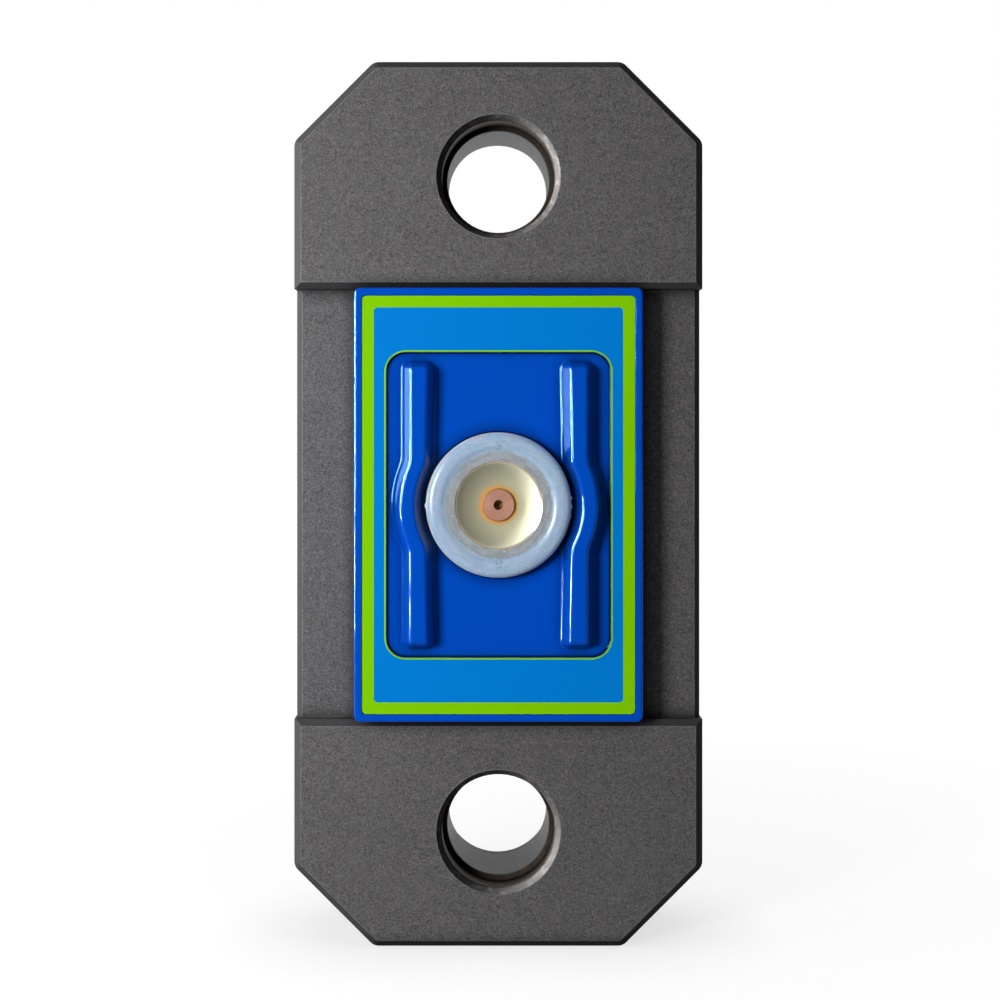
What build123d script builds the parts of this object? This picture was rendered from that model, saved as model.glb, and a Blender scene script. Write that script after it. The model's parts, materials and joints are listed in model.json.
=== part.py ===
from build123d import *

# A weighing load cell. The load path is one machined bar with a pin bore at each end. A moulded
# housing with a push button is clamped in the bar's front recess, a plain cover closes the rear
# recess, and a window cut through the bar between them holds the board, the cells and the gauges.
#
# Millimetres. The origin is the centre of the bar's bottom face. +Z runs up the load line, the pin
# bores run along Y, and the front, with the button, faces -Y. Depths below are values of Y.

import os
from math import sqrt

# Load bar
pin_spacing = 164.0
end_distance = 29.0
bar_width = 102.5
waist_width = 102.0
head_thickness = 35.0
corner_cut = 20.0
corner_round = 3.0
edge_chamfer = 1.8
recess_height = 108.0
recess_depth = 4.0
shoulder_chamfer = 1.5
waist_chamfer = 1.4

# Stepped pin bores: a land in the middle, relieved towards both faces
pin_bore_diameter = 26.0
pin_land_length = 18.0
relief_diameter = 28.4
mouth_chamfer = 1.4

# Cells, which set the size of the window that holds them
cell_diameter = 14.5
cell_length = 50.5
cell_nub_diameter = 5.5
cell_nub_length = 1.3
cell_edge_round = 0.8
cell_count = 3
cell_side_gap = 0.4
cell_end_room = 3.2

# Tray for the cells, and its contacts
tray_wall = 1.4
tray_floor = 1.2
tray_depth = 11.0
tray_stand = 2.0
tray_foot_diameter = 3.0
tray_foot_inset = 4.0
tray_ridge_width = 1.0
tray_ridge_height = 2.4
contact_thickness = 0.4
contact_width = 9.0
leaf_gap = 0.3
pad_width = 36.0
pad_height = 30.0

# Window through the bar
lead_room = 3.0
screw_bay = 17.6
gauge_pocket_depth = 1.0
gauge_pocket_height = 18.0
gauge_pocket_width = 16.0

# Front housing
housing_width = 71.6
housing_end_gap = 0.2
housing_round = 1.6
housing_edge_round = 0.6
housing_stand = 4.0
gasket_thickness = 0.8
gasket_inset = 1.0
wall = 2.2
lip_depth = 2.5
lip_wall = 1.8
lip_clearance = 0.3

# Printed overlay, its recess, and the sunk panel inside it
label_rim_width = 1.9
label_edge_gap = 0.15
label_recess_depth = 0.4
label_round = 1.0
overlay_thickness = 0.3
panel_width = 55.4
panel_height = 75.4
panel_round = 4.8
panel_step = 0.6

# Guard ribs that bow round the button
rib_height = 4.8
rib_length = 71.6
rib_outer_offset = 23.7
rib_end_offset = 15.5
rib_middle_offset = 16.2
rib_button_gap = 0.45
rib_bow_outer_radius = 26.1
rib_draft = 22.0
rib_end_round = 2.4
rib_bend_round = 7.0
rib_top_round = 1.0
rib_foot_round = 0.9

# Push button: a soft ring on a dished core, both carried by a turned plunger
button_travel = 1.2
button_gap = 0.3
cap_diameter = 36.0
cap_stand = 3.8
cap_land_diameter = 27.2
cap_crown_radius = 2.95
cap_wall = 1.7
well_depth = 2.0
dish_diameter = 21.3
dish_lip_drop = 0.3
dish_depth = 2.2
dish_floor_diameter = 8.8
dish_flange_width = 1.7
dish_flange_thickness = 1.2
core_diameter = 15.0
core_depth = 1.0
dish_lip_width = 0.25

# Plunger and what it carries
plunger_head_diameter = 8.2
plunger_head_height = 0.7
plunger_head_bevel = 0.3
plunger_shank_diameter = 5.0
plunger_hole_diameter = 2.5
plunger_hole_depth = 2.4
shank_clearance = 0.06
guide_wall = 1.8
guide_length = 5.6
ring_section = 0.9
ring_groove_gap = 0.05
ring_from_back = 1.6
clip_diameter = 8.0
clip_thickness = 0.6
clip_groove_depth = 0.6
clip_gap = 0.1
clip_mouth = 3.2
shank_tail = 0.6
pill_diameter = 4.0
pill_length = 1.0
pill_gap = 0.1
pads_diameter = 5.0
pads_split = 0.6
pads_thickness = 0.15

# Return spring
spring_diameter = 7.6
spring_wire = 0.7
spring_turns = 3.0
spring_side_gap = 0.6
spring_pocket_depth = 2.9
spring_end_gap = 0.1

# Board and what is soldered to it
board_side_gap = 4.0
board_overhang = 5.5
board_thickness = 1.6
board_round = 2.0
post_diameter = 5.0
post_inset = 4.0
board_screw_diameter = 2.5
board_screw_head_diameter = 4.6
board_screw_head_height = 1.4
board_screw_grip = 5.0
radio_width = 16.0
radio_height = 13.0
radio_thickness = 2.4
antenna_width = 9.0
antenna_height = 2.6
antenna_thickness = 1.4
antenna_gap = 1.2
antenna_edge_gap = 1.6
amplifier_size = 7.0
amplifier_thickness = 1.5
amplifier_edge_gap = 8.0
socket_width = 4.0
socket_height = 8.0
socket_thickness = 1.4
socket_edge_gap = 0.4

# Strain gauges and their flexible leads
gauge_thickness = 0.15
gauge_width = 10.0
gauge_height = 12.0
lead_thickness = 0.2
lead_height = 6.0
lead_bend = 3.0
lead_start = 3.0

# Rear cover and the screws that clamp it to the housing
cover_below_heads = 0.4
cover_edge_round = 0.8
screw_diameter = 4.0
screw_clearance = 0.25
screw_engagement = 6.0
screw_head_diameter = 7.0
screw_head_height = 2.4
screw_head_sink = 0.3
screw_head_round = 0.5
screw_socket_size = 2.5
screw_socket_depth = 1.4
screw_pocket_gap = 0.3
washer_thickness = 0.6
washer_gap = 0.2
boss_wall = 1.4
boss_side_gap = 0.2
boss_joint_gap = 0.3
insert_diameter = 5.6
insert_length = 8.0
insert_groove_depth = 0.3
screw_tip_room = 2.0

# Places along the load line and sizes across it that the pieces share
middle = end_distance + pin_spacing / 2
bar_length = 2 * end_distance + pin_spacing
cell_pitch = cell_diameter + cell_side_gap
tray_inner_width = cell_count * cell_pitch + cell_side_gap
tray_inner_height = cell_length + cell_end_room
tray_width = tray_inner_width + 2 * tray_wall
tray_height = tray_inner_height + 2 * tray_wall
window_width = tray_width + 2 * lead_room
window_height = tray_height + 2 * screw_bay
board_width = window_width - 2 * board_side_gap
board_height = tray_height + 2 * board_overhang
screw_pocket_diameter = screw_head_diameter + 2 * screw_pocket_gap
boss_diameter = screw_pocket_diameter + 2 * boss_wall
screw_inset = boss_diameter / 2 + boss_side_gap + lip_clearance
screw_x = window_width / 2 - screw_inset
screw_z = window_height / 2 - screw_inset
window_round = screw_inset
housing_height = recess_height - 2 * housing_end_gap
label_width = housing_width - 2 * label_rim_width
label_height = housing_height - 2 * label_rim_width
antenna_z = board_height / 2 - antenna_edge_gap - antenna_height / 2
radio_z = antenna_z - antenna_height / 2 - antenna_gap - radio_height / 2
amplifier_z = -board_height / 2 + amplifier_edge_gap + amplifier_size / 2
cap_crest_radius = cap_diameter / 2 - cap_crown_radius

# Depths, from the front to the rear
head_face = head_thickness / 2
waist_face = head_face - recess_depth
rim_front = -head_face - housing_stand
label_floor = rim_front + label_recess_depth
panel_front = label_floor + panel_step
panel_back = panel_front + wall
cap_front = panel_front - cap_stand
well_floor = panel_front + well_depth
cap_foot = well_floor - button_travel - button_gap
crown_centre = cap_front + cap_crown_radius
crest_to_land = cap_crest_radius - cap_land_diameter / 2
land_front = crown_centre - sqrt(cap_crown_radius**2 - crest_to_land**2)
dish_lip = land_front + dish_lip_drop
dish_floor = dish_lip + dish_depth
flange_front = land_front + cap_wall
core_back = flange_front + dish_flange_thickness + core_depth
spring_floor = well_floor + spring_pocket_depth
guide_back = spring_floor + guide_length
clip_front = guide_back + clip_gap
shank_end = clip_front + clip_thickness + shank_tail
pill_back = shank_end + pill_length
board_front = pill_back + button_travel + pill_gap + pads_thickness
board_back = board_front + board_thickness
tray_front = board_back + tray_stand
cell_axis = tray_front + tray_floor + cell_side_gap + cell_diameter / 2
housing_back = -waist_face - gasket_thickness
cover_front = waist_face + gasket_thickness
cover_back = head_face - cover_below_heads
cover_inside = cover_back - wall
head_back = cover_back - screw_head_sink
head_front = head_back - screw_head_height
pocket_floor = head_front - washer_thickness
boss_end = boss_joint_gap / 2
screw_tip = -boss_end - screw_engagement


def slab(outline, front, back):
    """A sketch drawn in X and Z, made solid between two depths."""
    return extrude(Plane.XZ.offset(-back) * outline, back - front)


def block(width, height, rounding, front, back):
    """A rounded rectangle about the middle of the bar, made solid between two depths."""
    return slab(Pos(0, middle) * RectangleRounded(width, height, rounding), front, back)


def disc(diameter, front, back, x=0.0, z=middle):
    """A round slab about a point of the front view."""
    return slab(Pos(x, z) * Circle(diameter / 2), front, back)


def turned(points, x=0.0, z=middle):
    """A profile of (radius, depth) points, turned about an axis along Y."""
    return Pos(x, 0, z) * revolve(make_face(Polyline(points, close=True)), Axis.Y)


def four_places(half_x, half_z):
    """The four points at these distances from the middle of the bar."""
    return [(sx * half_x, middle + sz * half_z) for sx in (-1, 1) for sz in (-1, 1)]


def within(point, box, margin):
    """Whether a point lies in a box seen from the front, or within a margin of it."""
    across = box.min.X - margin < point.X < box.max.X + margin
    return across and box.min.Z - margin < point.Z < box.max.Z + margin


def edges_at_depth(solid, depth):
    """The edges of a solid that lie in the plane at one depth."""
    return solid.edges().filter_by_position(Axis.Y, depth, depth, inclusive=(True, True))


def pin_bore(height):
    """What is cut for one pin: the land, the relief on both sides of it and the chamfered mouths."""
    pin = pin_bore_diameter / 2
    relief = relief_diameter / 2
    mouth = relief + mouth_chamfer
    land = pin_land_length / 2
    step = relief - pin
    half = [(pin, land), (relief, land + step), (relief, head_face - mouth_chamfer), (mouth, head_face)]
    front = [(radius, -depth) for radius, depth in reversed(half)]
    return turned([(0, -head_face), *front, *half, (0, head_face)], z=height)


def shoulder_edges(bar):
    """The edges along X where the heads meet the recesses."""
    near = shoulder_chamfer / 2
    return bar.edges().filter_by(Axis.X).filter_by(
        lambda edge: abs(abs(edge.center().Z - middle) - recess_height / 2) < near
    )


def load_body():
    """The bar: two heads with pin bores, a thinner waist, and a window for what the module holds."""
    outline = Pos(0, bar_length / 2) * Rectangle(bar_width, bar_length)
    outline = chamfer(outline.vertices(), corner_cut)
    outline = fillet(outline.vertices(), corner_round)
    bar = slab(outline, -head_face, head_face)
    bar = chamfer(edges_at_depth(bar, -head_face) + edges_at_depth(bar, head_face), edge_chamfer)
    waist_outline = Pos(0, middle) * Rectangle(waist_width, recess_height)
    waist = slab(waist_outline, -waist_face, waist_face)
    waist = chamfer(waist.edges().filter_by(Axis.Z), waist_chamfer)
    sleeve = slab(Pos(0, middle) * Rectangle(2 * bar_width, recess_height), -head_face, head_face)
    bar -= sleeve
    bar = chamfer(shoulder_edges(bar), shoulder_chamfer)
    bar += waist
    for height in (end_distance, end_distance + pin_spacing):
        bar -= pin_bore(height)
    bar -= block(window_width, window_height, window_round, -head_face, head_face)
    bar -= Pos(0, 0, middle) * Box(
        window_width + 2 * gauge_pocket_depth, gauge_pocket_width, gauge_pocket_height
    )
    return bar


def gasket(front):
    """A flat seal between the bar's waist and the housing or the cover."""
    ring = block(
        housing_width - 2 * gasket_inset, housing_height - 2 * gasket_inset, housing_round, front,
        front + gasket_thickness,
    )
    return ring - block(window_width, window_height, window_round, front, front + gasket_thickness)


def lip_and_bosses(flange, inside, joint):
    """The lip that enters the window, and the screw bosses, for the housing or the cover.

    flange is the depth where the lip starts, inside the depth of the hollow's floor, and joint the depth
    where the bosses end.
    """
    sign = 1 if joint > inside else -1
    tip = flange + sign * (gasket_thickness + lip_depth)
    front, back = sorted((flange, tip))
    clear = 2 * lip_clearance
    lip = block(window_width - clear, window_height - clear, window_round - lip_clearance, front, back)
    hollow_inset = clear + 2 * lip_wall
    front, back = sorted((inside, tip))
    hollow = block(
        window_width - hollow_inset,
        window_height - hollow_inset,
        window_round - lip_clearance - lip_wall,
        front,
        back,
    )
    front, back = sorted((inside, joint))
    bosses = [disc(boss_diameter, front, back, x, z) for x, z in four_places(screw_x, screw_z)]
    return lip, hollow, bosses


def rib_outline():
    """Front view of the right rib at its foot: a strip that bows round the button."""
    half = rib_length / 2
    strip = make_face(
        Polyline(
            (rib_end_offset, half),
            (rib_outer_offset, half),
            (rib_outer_offset, -half),
            (rib_end_offset, -half),
            (rib_middle_offset, 0),
            close=True,
        )
    )
    bow_side = Pos(rib_middle_offset + rib_bow_outer_radius / 2, 0) * Rectangle(
        rib_bow_outer_radius, rib_bow_outer_radius
    )
    inner_radius = cap_diameter / 2 + button_gap + rib_button_gap
    outline = strip + (Circle(rib_bow_outer_radius) & bow_side) - Circle(inner_radius)
    ends = outline.vertices().filter_by(lambda corner: abs(corner.Y) > rib_bow_outer_radius)
    outline = fillet(ends, rib_end_round)
    bends = outline.vertices().filter_by(lambda corner: abs(corner.Y) < rib_bow_outer_radius / 2)
    return fillet(bends, rib_bend_round)


def guard_rib():
    """The right rib, with drafted sides and a rounded top, standing on the panel."""
    foot = Plane.XZ.offset(-panel_front) * (Pos(0, middle) * rib_outline())
    rib = extrude(foot, rib_height, taper=rib_draft)
    return fillet(edges_at_depth(rib, panel_front - rib_height), rib_top_round)


def button_well():
    """The cup behind the panel that the button sinks into, and what is cut from it."""
    well = cap_diameter / 2 + button_gap
    pocket = spring_diameter / 2 + spring_wire / 2 + spring_side_gap
    bore = plunger_shank_diameter / 2 + shank_clearance
    guide = bore + guide_wall
    cup = turned(
        [
            (0, panel_front + wall / 2),
            (well + wall, panel_front + wall / 2),
            (well + wall, well_floor + wall),
            (pocket + wall, well_floor + wall),
            (pocket + wall, spring_floor + wall),
            (guide, spring_floor + wall),
            (guide, guide_back),
            (0, guide_back),
        ]
    )
    cut = turned(
        [
            (0, panel_front),
            (well, panel_front),
            (well, well_floor),
            (pocket, well_floor),
            (pocket, spring_floor),
            (bore, spring_floor),
            (bore, guide_back),
            (0, guide_back),
        ]
    )
    return cup, cut


def front_housing():
    """The moulded housing: rim, label recess, sunk panel, guard ribs, button well, posts and bosses."""
    shell = block(housing_width, housing_height, housing_round, rim_front, housing_back)
    shell = fillet(edges_at_depth(shell, rim_front), housing_edge_round)
    lip, hollow, bosses = lip_and_bosses(housing_back, panel_back, -boss_end)
    shell = shell + lip - hollow
    shell -= block(label_width, label_height, label_round, rim_front, label_floor)
    shell -= block(panel_width, panel_height, panel_round, label_floor, panel_front)
    for boss, (x, z) in zip(bosses, four_places(screw_x, screw_z)):
        shell += boss
        shell -= disc(insert_diameter, -boss_end - insert_length, -boss_end, x, z)
        shell -= disc(screw_diameter, screw_tip - screw_tip_room, -boss_end, x, z)
    for x, z in post_places():
        shell += disc(post_diameter, panel_back, board_front, x, z)
        pilot_front = board_front - board_screw_grip - screw_tip_room
        shell -= disc(board_screw_diameter, pilot_front, board_front, x, z)
    for rib in (guard_rib(), mirror(guard_rib(), Plane.YZ)):
        shell += rib
        foot = rib.bounding_box()
        edges = edges_at_depth(shell, panel_front)
        feet = [edge for edge in edges if within(edge.center(), foot, rib_button_gap)]
        shell = fillet(feet, rib_foot_round)
    cup, cut = button_well()
    return shell + cup - cut


def label_overlay():
    """The printed sheet that lies in the housing's recess, round the sunk panel."""
    gap = 2 * label_edge_gap
    sheet = block(
        label_width - gap, label_height - gap, label_round, label_floor - overlay_thickness, label_floor
    )
    return sheet - block(
        panel_width + gap, panel_height + gap, panel_round, label_floor - overlay_thickness, label_floor
    )


def button_cap():
    """The soft ring of the button: a rounded crown that falls to a flat land, hollow underneath."""
    rim = cap_diameter / 2
    land = cap_land_diameter / 2
    hole = dish_diameter / 2
    crown = ThreePointArc((rim, crown_centre), (cap_crest_radius, cap_front), (land, land_front))
    inside = Polyline(
        (land, land_front),
        (hole, land_front),
        (hole, flange_front),
        (land, flange_front),
        (rim - cap_wall, crown_centre),
        (rim - cap_wall, cap_foot),
        (rim, cap_foot),
        (rim, crown_centre),
    )
    return Pos(0, 0, middle) * revolve(make_face(crown + inside), Axis.Y)


def button_dish():
    """The core of the button: a dished face, and a flange under the soft ring that carries it."""
    flange = dish_diameter / 2 + dish_flange_width
    flange_back = flange_front + dish_flange_thickness
    core = core_diameter / 2
    rim = dish_diameter / 2
    base = dish_floor_diameter / 2
    bowl = TangentArc((base, dish_floor), (rim - dish_lip_width, dish_lip), tangent=(1, 0))
    back = Polyline(
        (base, dish_floor),
        (0, dish_floor),
        (0, core_back),
        (core, core_back),
        (core, flange_back),
        (flange, flange_back),
        (flange, flange_front),
        (rim, flange_front),
        (rim, dish_lip),
        (rim - dish_lip_width, dish_lip),
    )
    dish = Pos(0, 0, middle) * revolve(make_face(bowl + back), Axis.Y)
    return dish - disc(plunger_shank_diameter, dish_floor, core_back)


def button_plunger():
    """The turned plunger: a bevelled head with a blind hole, and a shank with two grooves."""
    front = dish_floor - plunger_head_height
    head = plunger_head_diameter / 2
    shank = plunger_shank_diameter / 2
    clip_groove = shank - clip_groove_depth
    ring_groove = shank - ring_section
    ring_back = guide_back - ring_from_back
    ring_front = ring_back - ring_section - 2 * ring_groove_gap
    clip_back = clip_front + clip_thickness
    plunger = turned(
        [
            (0, front),
            (head - plunger_head_bevel, front),
            (head, front + plunger_head_bevel),
            (head, dish_floor),
            (shank, dish_floor),
            (shank, ring_front),
            (ring_groove, ring_front),
            (ring_groove, ring_back),
            (shank, ring_back),
            (shank, clip_front),
            (clip_groove, clip_front),
            (clip_groove, clip_back),
            (shank, clip_back),
            (shank, shank_end),
            (0, shank_end),
        ]
    )
    return plunger - disc(plunger_hole_diameter, front, front + plunger_hole_depth)


def plunger_seal():
    """The round seal in the plunger's groove, which slides in the guide."""
    centre = guide_back - ring_from_back - ring_groove_gap - ring_section / 2
    radius = plunger_shank_diameter / 2 - ring_section / 2
    section = Plane.XY * Pos(radius, centre) * Circle(ring_section / 2)
    return Pos(0, 0, middle) * revolve(section, Axis.Y)


def plunger_clip():
    """The open clip in the plunger's end groove, which stops it against the guide."""
    clip_back = clip_front + clip_thickness
    clip = disc(clip_diameter, clip_front, clip_back)
    clip -= disc(plunger_shank_diameter - 2 * clip_groove_depth, clip_front, clip_back)
    mouth = Pos(0, middle - clip_diameter / 2) * Rectangle(clip_mouth, clip_diameter)
    return clip - slab(mouth, clip_front, clip_back)


def contact_pill():
    """The conductive pill on the plunger's end that bridges the pads on the board."""
    return disc(pill_diameter, shank_end, pill_back)


def switch_pads():
    """The two half-round pads under the pill."""
    pads = disc(pads_diameter, board_front - pads_thickness, board_front)
    return pads - slab(
        Pos(0, middle) * Rectangle(pads_split, pads_diameter), board_front - pads_thickness, board_front
    )


def return_spring():
    """The coil spring round the plunger, from the bottom of its pocket to the button's core."""
    front = core_back + spring_end_gap + spring_wire / 2
    back = spring_floor - spring_end_gap - spring_wire / 2
    height = back - front
    path = Helix(height / spring_turns, height, spring_diameter / 2)
    start = Plane(origin=path @ 0, z_dir=path % 0)
    coil = sweep(start * Circle(spring_wire / 2), path)
    return Pos(0, front, middle) * (Rot(-90, 0, 0) * coil)


def post_places():
    """Where the board is screwed to the housing's posts."""
    return four_places(board_width / 2 - post_inset, board_height / 2 - post_inset)


def main_board():
    """The board, drilled for its four screws."""
    board = block(board_width, board_height, board_round, board_front, board_back)
    for x, z in post_places():
        board -= disc(board_screw_diameter + 2 * screw_clearance, board_front, board_back, x, z)
    return board


def board_part(width, height, thickness, x, z):
    """A rectangular part soldered to the front of the board."""
    return slab(Pos(x, middle + z) * Rectangle(width, height), board_front - thickness, board_front)


def board_screws():
    """The four small screws through the board."""
    screws = []
    for x, z in post_places():
        screw = disc(board_screw_head_diameter, board_back, board_back + board_screw_head_height, x, z)
        screw += disc(board_screw_diameter, board_front - board_screw_grip, board_back, x, z)
        screws.append(screw)
    return Compound(screws)


def strain_gauge(side):
    """The gauge bonded to the floor of its pocket in one leg of the bar."""
    floor = window_width / 2 + gauge_pocket_depth
    x = side * (floor - gauge_thickness / 2)
    return Pos(x, 0, middle) * Box(gauge_thickness, gauge_width, gauge_height)


def gauge_lead(side):
    """The flexible strip from one gauge, bent inwards to its socket on the board."""
    start = window_width / 2 + gauge_pocket_depth - gauge_thickness - lead_thickness / 2
    end = board_width / 2 - socket_edge_gap - socket_width
    depth = board_front - socket_thickness - lead_thickness / 2
    path = FilletPolyline((start, lead_start), (start, depth), (end, depth), radius=lead_bend)
    strip = extrude(Plane.XY * trace(path, lead_thickness), lead_height / 2, both=True)
    strip = Pos(0, 0, middle) * strip
    return strip if side > 0 else mirror(strip, Plane.YZ)


def lead_sockets():
    """The two sockets on the board that the gauge leads lie on."""
    x = board_width / 2 - socket_edge_gap - socket_width / 2
    return Compound(
        [board_part(socket_width, socket_height, socket_thickness, side * x, 0) for side in (-1, 1)]
    )


def cell_places():
    """Each cell's x and the way its positive end points."""
    first = -(cell_count - 1) / 2
    return [((first + index) * cell_pitch, 1 if index % 2 == 0 else -1) for index in range(cell_count)]


def cell(x, way):
    """One cell: a can with rounded edges and its positive nub."""
    tip = tray_inner_height / 2 - contact_thickness
    can = cell_length - cell_nub_length
    body = Cylinder(cell_diameter / 2, can, align=(Align.CENTER, Align.CENTER, Align.MAX))
    body = fillet(body.edges(), cell_edge_round)
    nub = Cylinder(cell_nub_diameter / 2, cell_nub_length, align=(Align.CENTER, Align.CENTER, Align.MIN))
    upright = Pos(0, 0, tip - cell_nub_length) * (body + nub)
    return Pos(x, cell_axis, middle) * (upright if way > 0 else Rot(180, 0, 0) * upright)


def battery_tray():
    """The open tray: floor, walls, ridges between the cells, and four feet on the board."""
    back = tray_front + tray_depth
    tray = slab(Pos(0, middle) * Rectangle(tray_width, tray_height), tray_front, back)
    inner = Pos(0, middle) * Rectangle(tray_inner_width, tray_inner_height)
    tray -= slab(inner, tray_front + tray_floor, back)
    ridge_height = tray_inner_height - 2 * cell_end_room
    for index in range(1, cell_count):
        x = (index - cell_count / 2) * cell_pitch
        ridge = Pos(x, middle) * Rectangle(tray_ridge_width, ridge_height)
        tray += slab(ridge, tray_front, tray_front + tray_floor + tray_ridge_height)
    for x, z in four_places(tray_width / 2 - tray_foot_inset, tray_height / 2 - tray_foot_inset):
        tray += disc(tray_foot_diameter, board_back, tray_front, x, z)
    return tray


def contact_plate(x, side):
    """A flat contact against one end wall of the tray."""
    z = side * (tray_inner_height - contact_thickness) / 2
    return Pos(x, cell_axis, middle + z) * Box(contact_width, contact_width, contact_thickness)


def battery_tabs():
    """The flat contacts that the positive nubs touch."""
    return Compound([contact_plate(x, way) for x, way in cell_places()])


def battery_springs():
    """The bent leaf contacts that press on the cells' flat ends."""
    reach = cell_end_room - 2 * contact_thickness - leaf_gap
    half = contact_width / 2
    bow = ThreePointArc((-half, 0), (0, reach), (half, 0))
    leaf = extrude(Plane.XZ * trace(bow, contact_thickness), contact_width / 2, both=True)
    springs = []
    for x, way in cell_places():
        plate = contact_plate(0, -1)
        lift = middle - tray_inner_height / 2 + contact_thickness
        whole = Pos(0, 0, -middle) * (plate + Pos(0, cell_axis, lift) * leaf)
        placed = whole if way > 0 else mirror(whole, Plane.XY)
        springs.append(Pos(x, 0, middle) * placed)
    return Compound(springs)


def battery_pad():
    """The soft pad on the cover that holds the cells down."""
    front = cell_axis + cell_diameter / 2
    return slab(Pos(0, middle) * Rectangle(pad_width, pad_height), front, cover_inside)


def rear_cover():
    """The plain rear cover, with a pocket for each screw head."""
    cover = block(housing_width, housing_height, housing_round, cover_front, cover_back)
    cover = fillet(edges_at_depth(cover, cover_back), cover_edge_round)
    lip, hollow, bosses = lip_and_bosses(cover_front, cover_inside, boss_end)
    cover = cover + lip - hollow
    for boss, (x, z) in zip(bosses, four_places(screw_x, screw_z)):
        cover += boss
        cover -= disc(screw_pocket_diameter, pocket_floor, cover_back, x, z)
        cover -= disc(screw_diameter + 2 * screw_clearance, boss_end, pocket_floor, x, z)
    return cover


def cover_screws():
    """The four long screws, with hexagon sockets in rounded heads."""
    screws = []
    for x, z in four_places(screw_x, screw_z):
        head = disc(screw_head_diameter, head_front, head_back, x, z)
        head = fillet(edges_at_depth(head, head_back), screw_head_round)
        socket = Pos(x, z) * RegularPolygon(screw_socket_size / 2, 6, major_radius=False)
        head -= slab(socket, head_back - screw_socket_depth, head_back)
        screws.append(head + disc(screw_diameter, screw_tip, head_front, x, z))
    return Compound(screws)


def screw_washers():
    """The sealing washers under the screw heads."""
    outer = screw_pocket_diameter - 2 * washer_gap
    inner = screw_diameter + 2 * screw_clearance
    return Compound(
        [
            disc(outer, pocket_floor, head_front, x, z) - disc(inner, pocket_floor, head_front, x, z)
            for x, z in four_places(screw_x, screw_z)
        ]
    )


def threaded_inserts():
    """The metal inserts in the housing's bosses, each with a groove round its middle."""
    inserts = []
    for x, z in four_places(screw_x, screw_z):
        insert = disc(insert_diameter, -boss_end - insert_length, -boss_end, x, z)
        centre = -boss_end - insert_length / 2
        groove = disc(insert_diameter, centre - insert_groove_depth, centre + insert_groove_depth, x, z)
        groove -= disc(
            insert_diameter - 2 * insert_groove_depth,
            centre - insert_groove_depth,
            centre + insert_groove_depth,
            x,
            z,
        )
        insert -= groove
        insert -= disc(screw_diameter, -boss_end - insert_length, -boss_end, x, z)
        inserts.append(insert)
    return Compound(inserts)


def nodes():
    """Every piece by its node's name."""
    pieces = {
        "load_body": load_body(),
        "front_housing": front_housing(),
        "label_overlay": label_overlay(),
        "front_gasket": gasket(housing_back),
        "rear_gasket": gasket(waist_face),
        "rear_cover": rear_cover(),
        "cover_screws": cover_screws(),
        "screw_washers": screw_washers(),
        "threaded_inserts": threaded_inserts(),
        "button_cap": button_cap(),
        "button_dish": button_dish(),
        "button_plunger": button_plunger(),
        "plunger_seal": plunger_seal(),
        "plunger_clip": plunger_clip(),
        "contact_pill": contact_pill(),
        "return_spring": return_spring(),
        "main_board": main_board(),
        "switch_pads": switch_pads(),
        "board_screws": board_screws(),
        "radio_module": board_part(radio_width, radio_height, radio_thickness, 0, radio_z),
        "antenna": board_part(antenna_width, antenna_height, antenna_thickness, 0, antenna_z),
        "amplifier_chip": board_part(
            amplifier_size, amplifier_size, amplifier_thickness, 0, amplifier_z
        ),
        "lead_sockets": lead_sockets(),
        "strain_gauge_left": strain_gauge(-1),
        "strain_gauge_right": strain_gauge(1),
        "gauge_lead_left": gauge_lead(-1),
        "gauge_lead_right": gauge_lead(1),
        "battery_tray": battery_tray(),
        "battery_tabs": battery_tabs(),
        "battery_springs": battery_springs(),
        "battery_pad": battery_pad(),
    }
    for index, (x, way) in enumerate(cell_places(), start=1):
        pieces[f"battery_{index}"] = cell(x, way)
    return pieces


os.makedirs("parts", exist_ok=True)
for name, piece in nodes().items():
    export_step(piece, f"parts/{name}.step")
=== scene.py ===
import json
import logging
import math
from dataclasses import asdict, dataclass
from enum import Enum
from typing import Callable, Optional, Union

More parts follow.
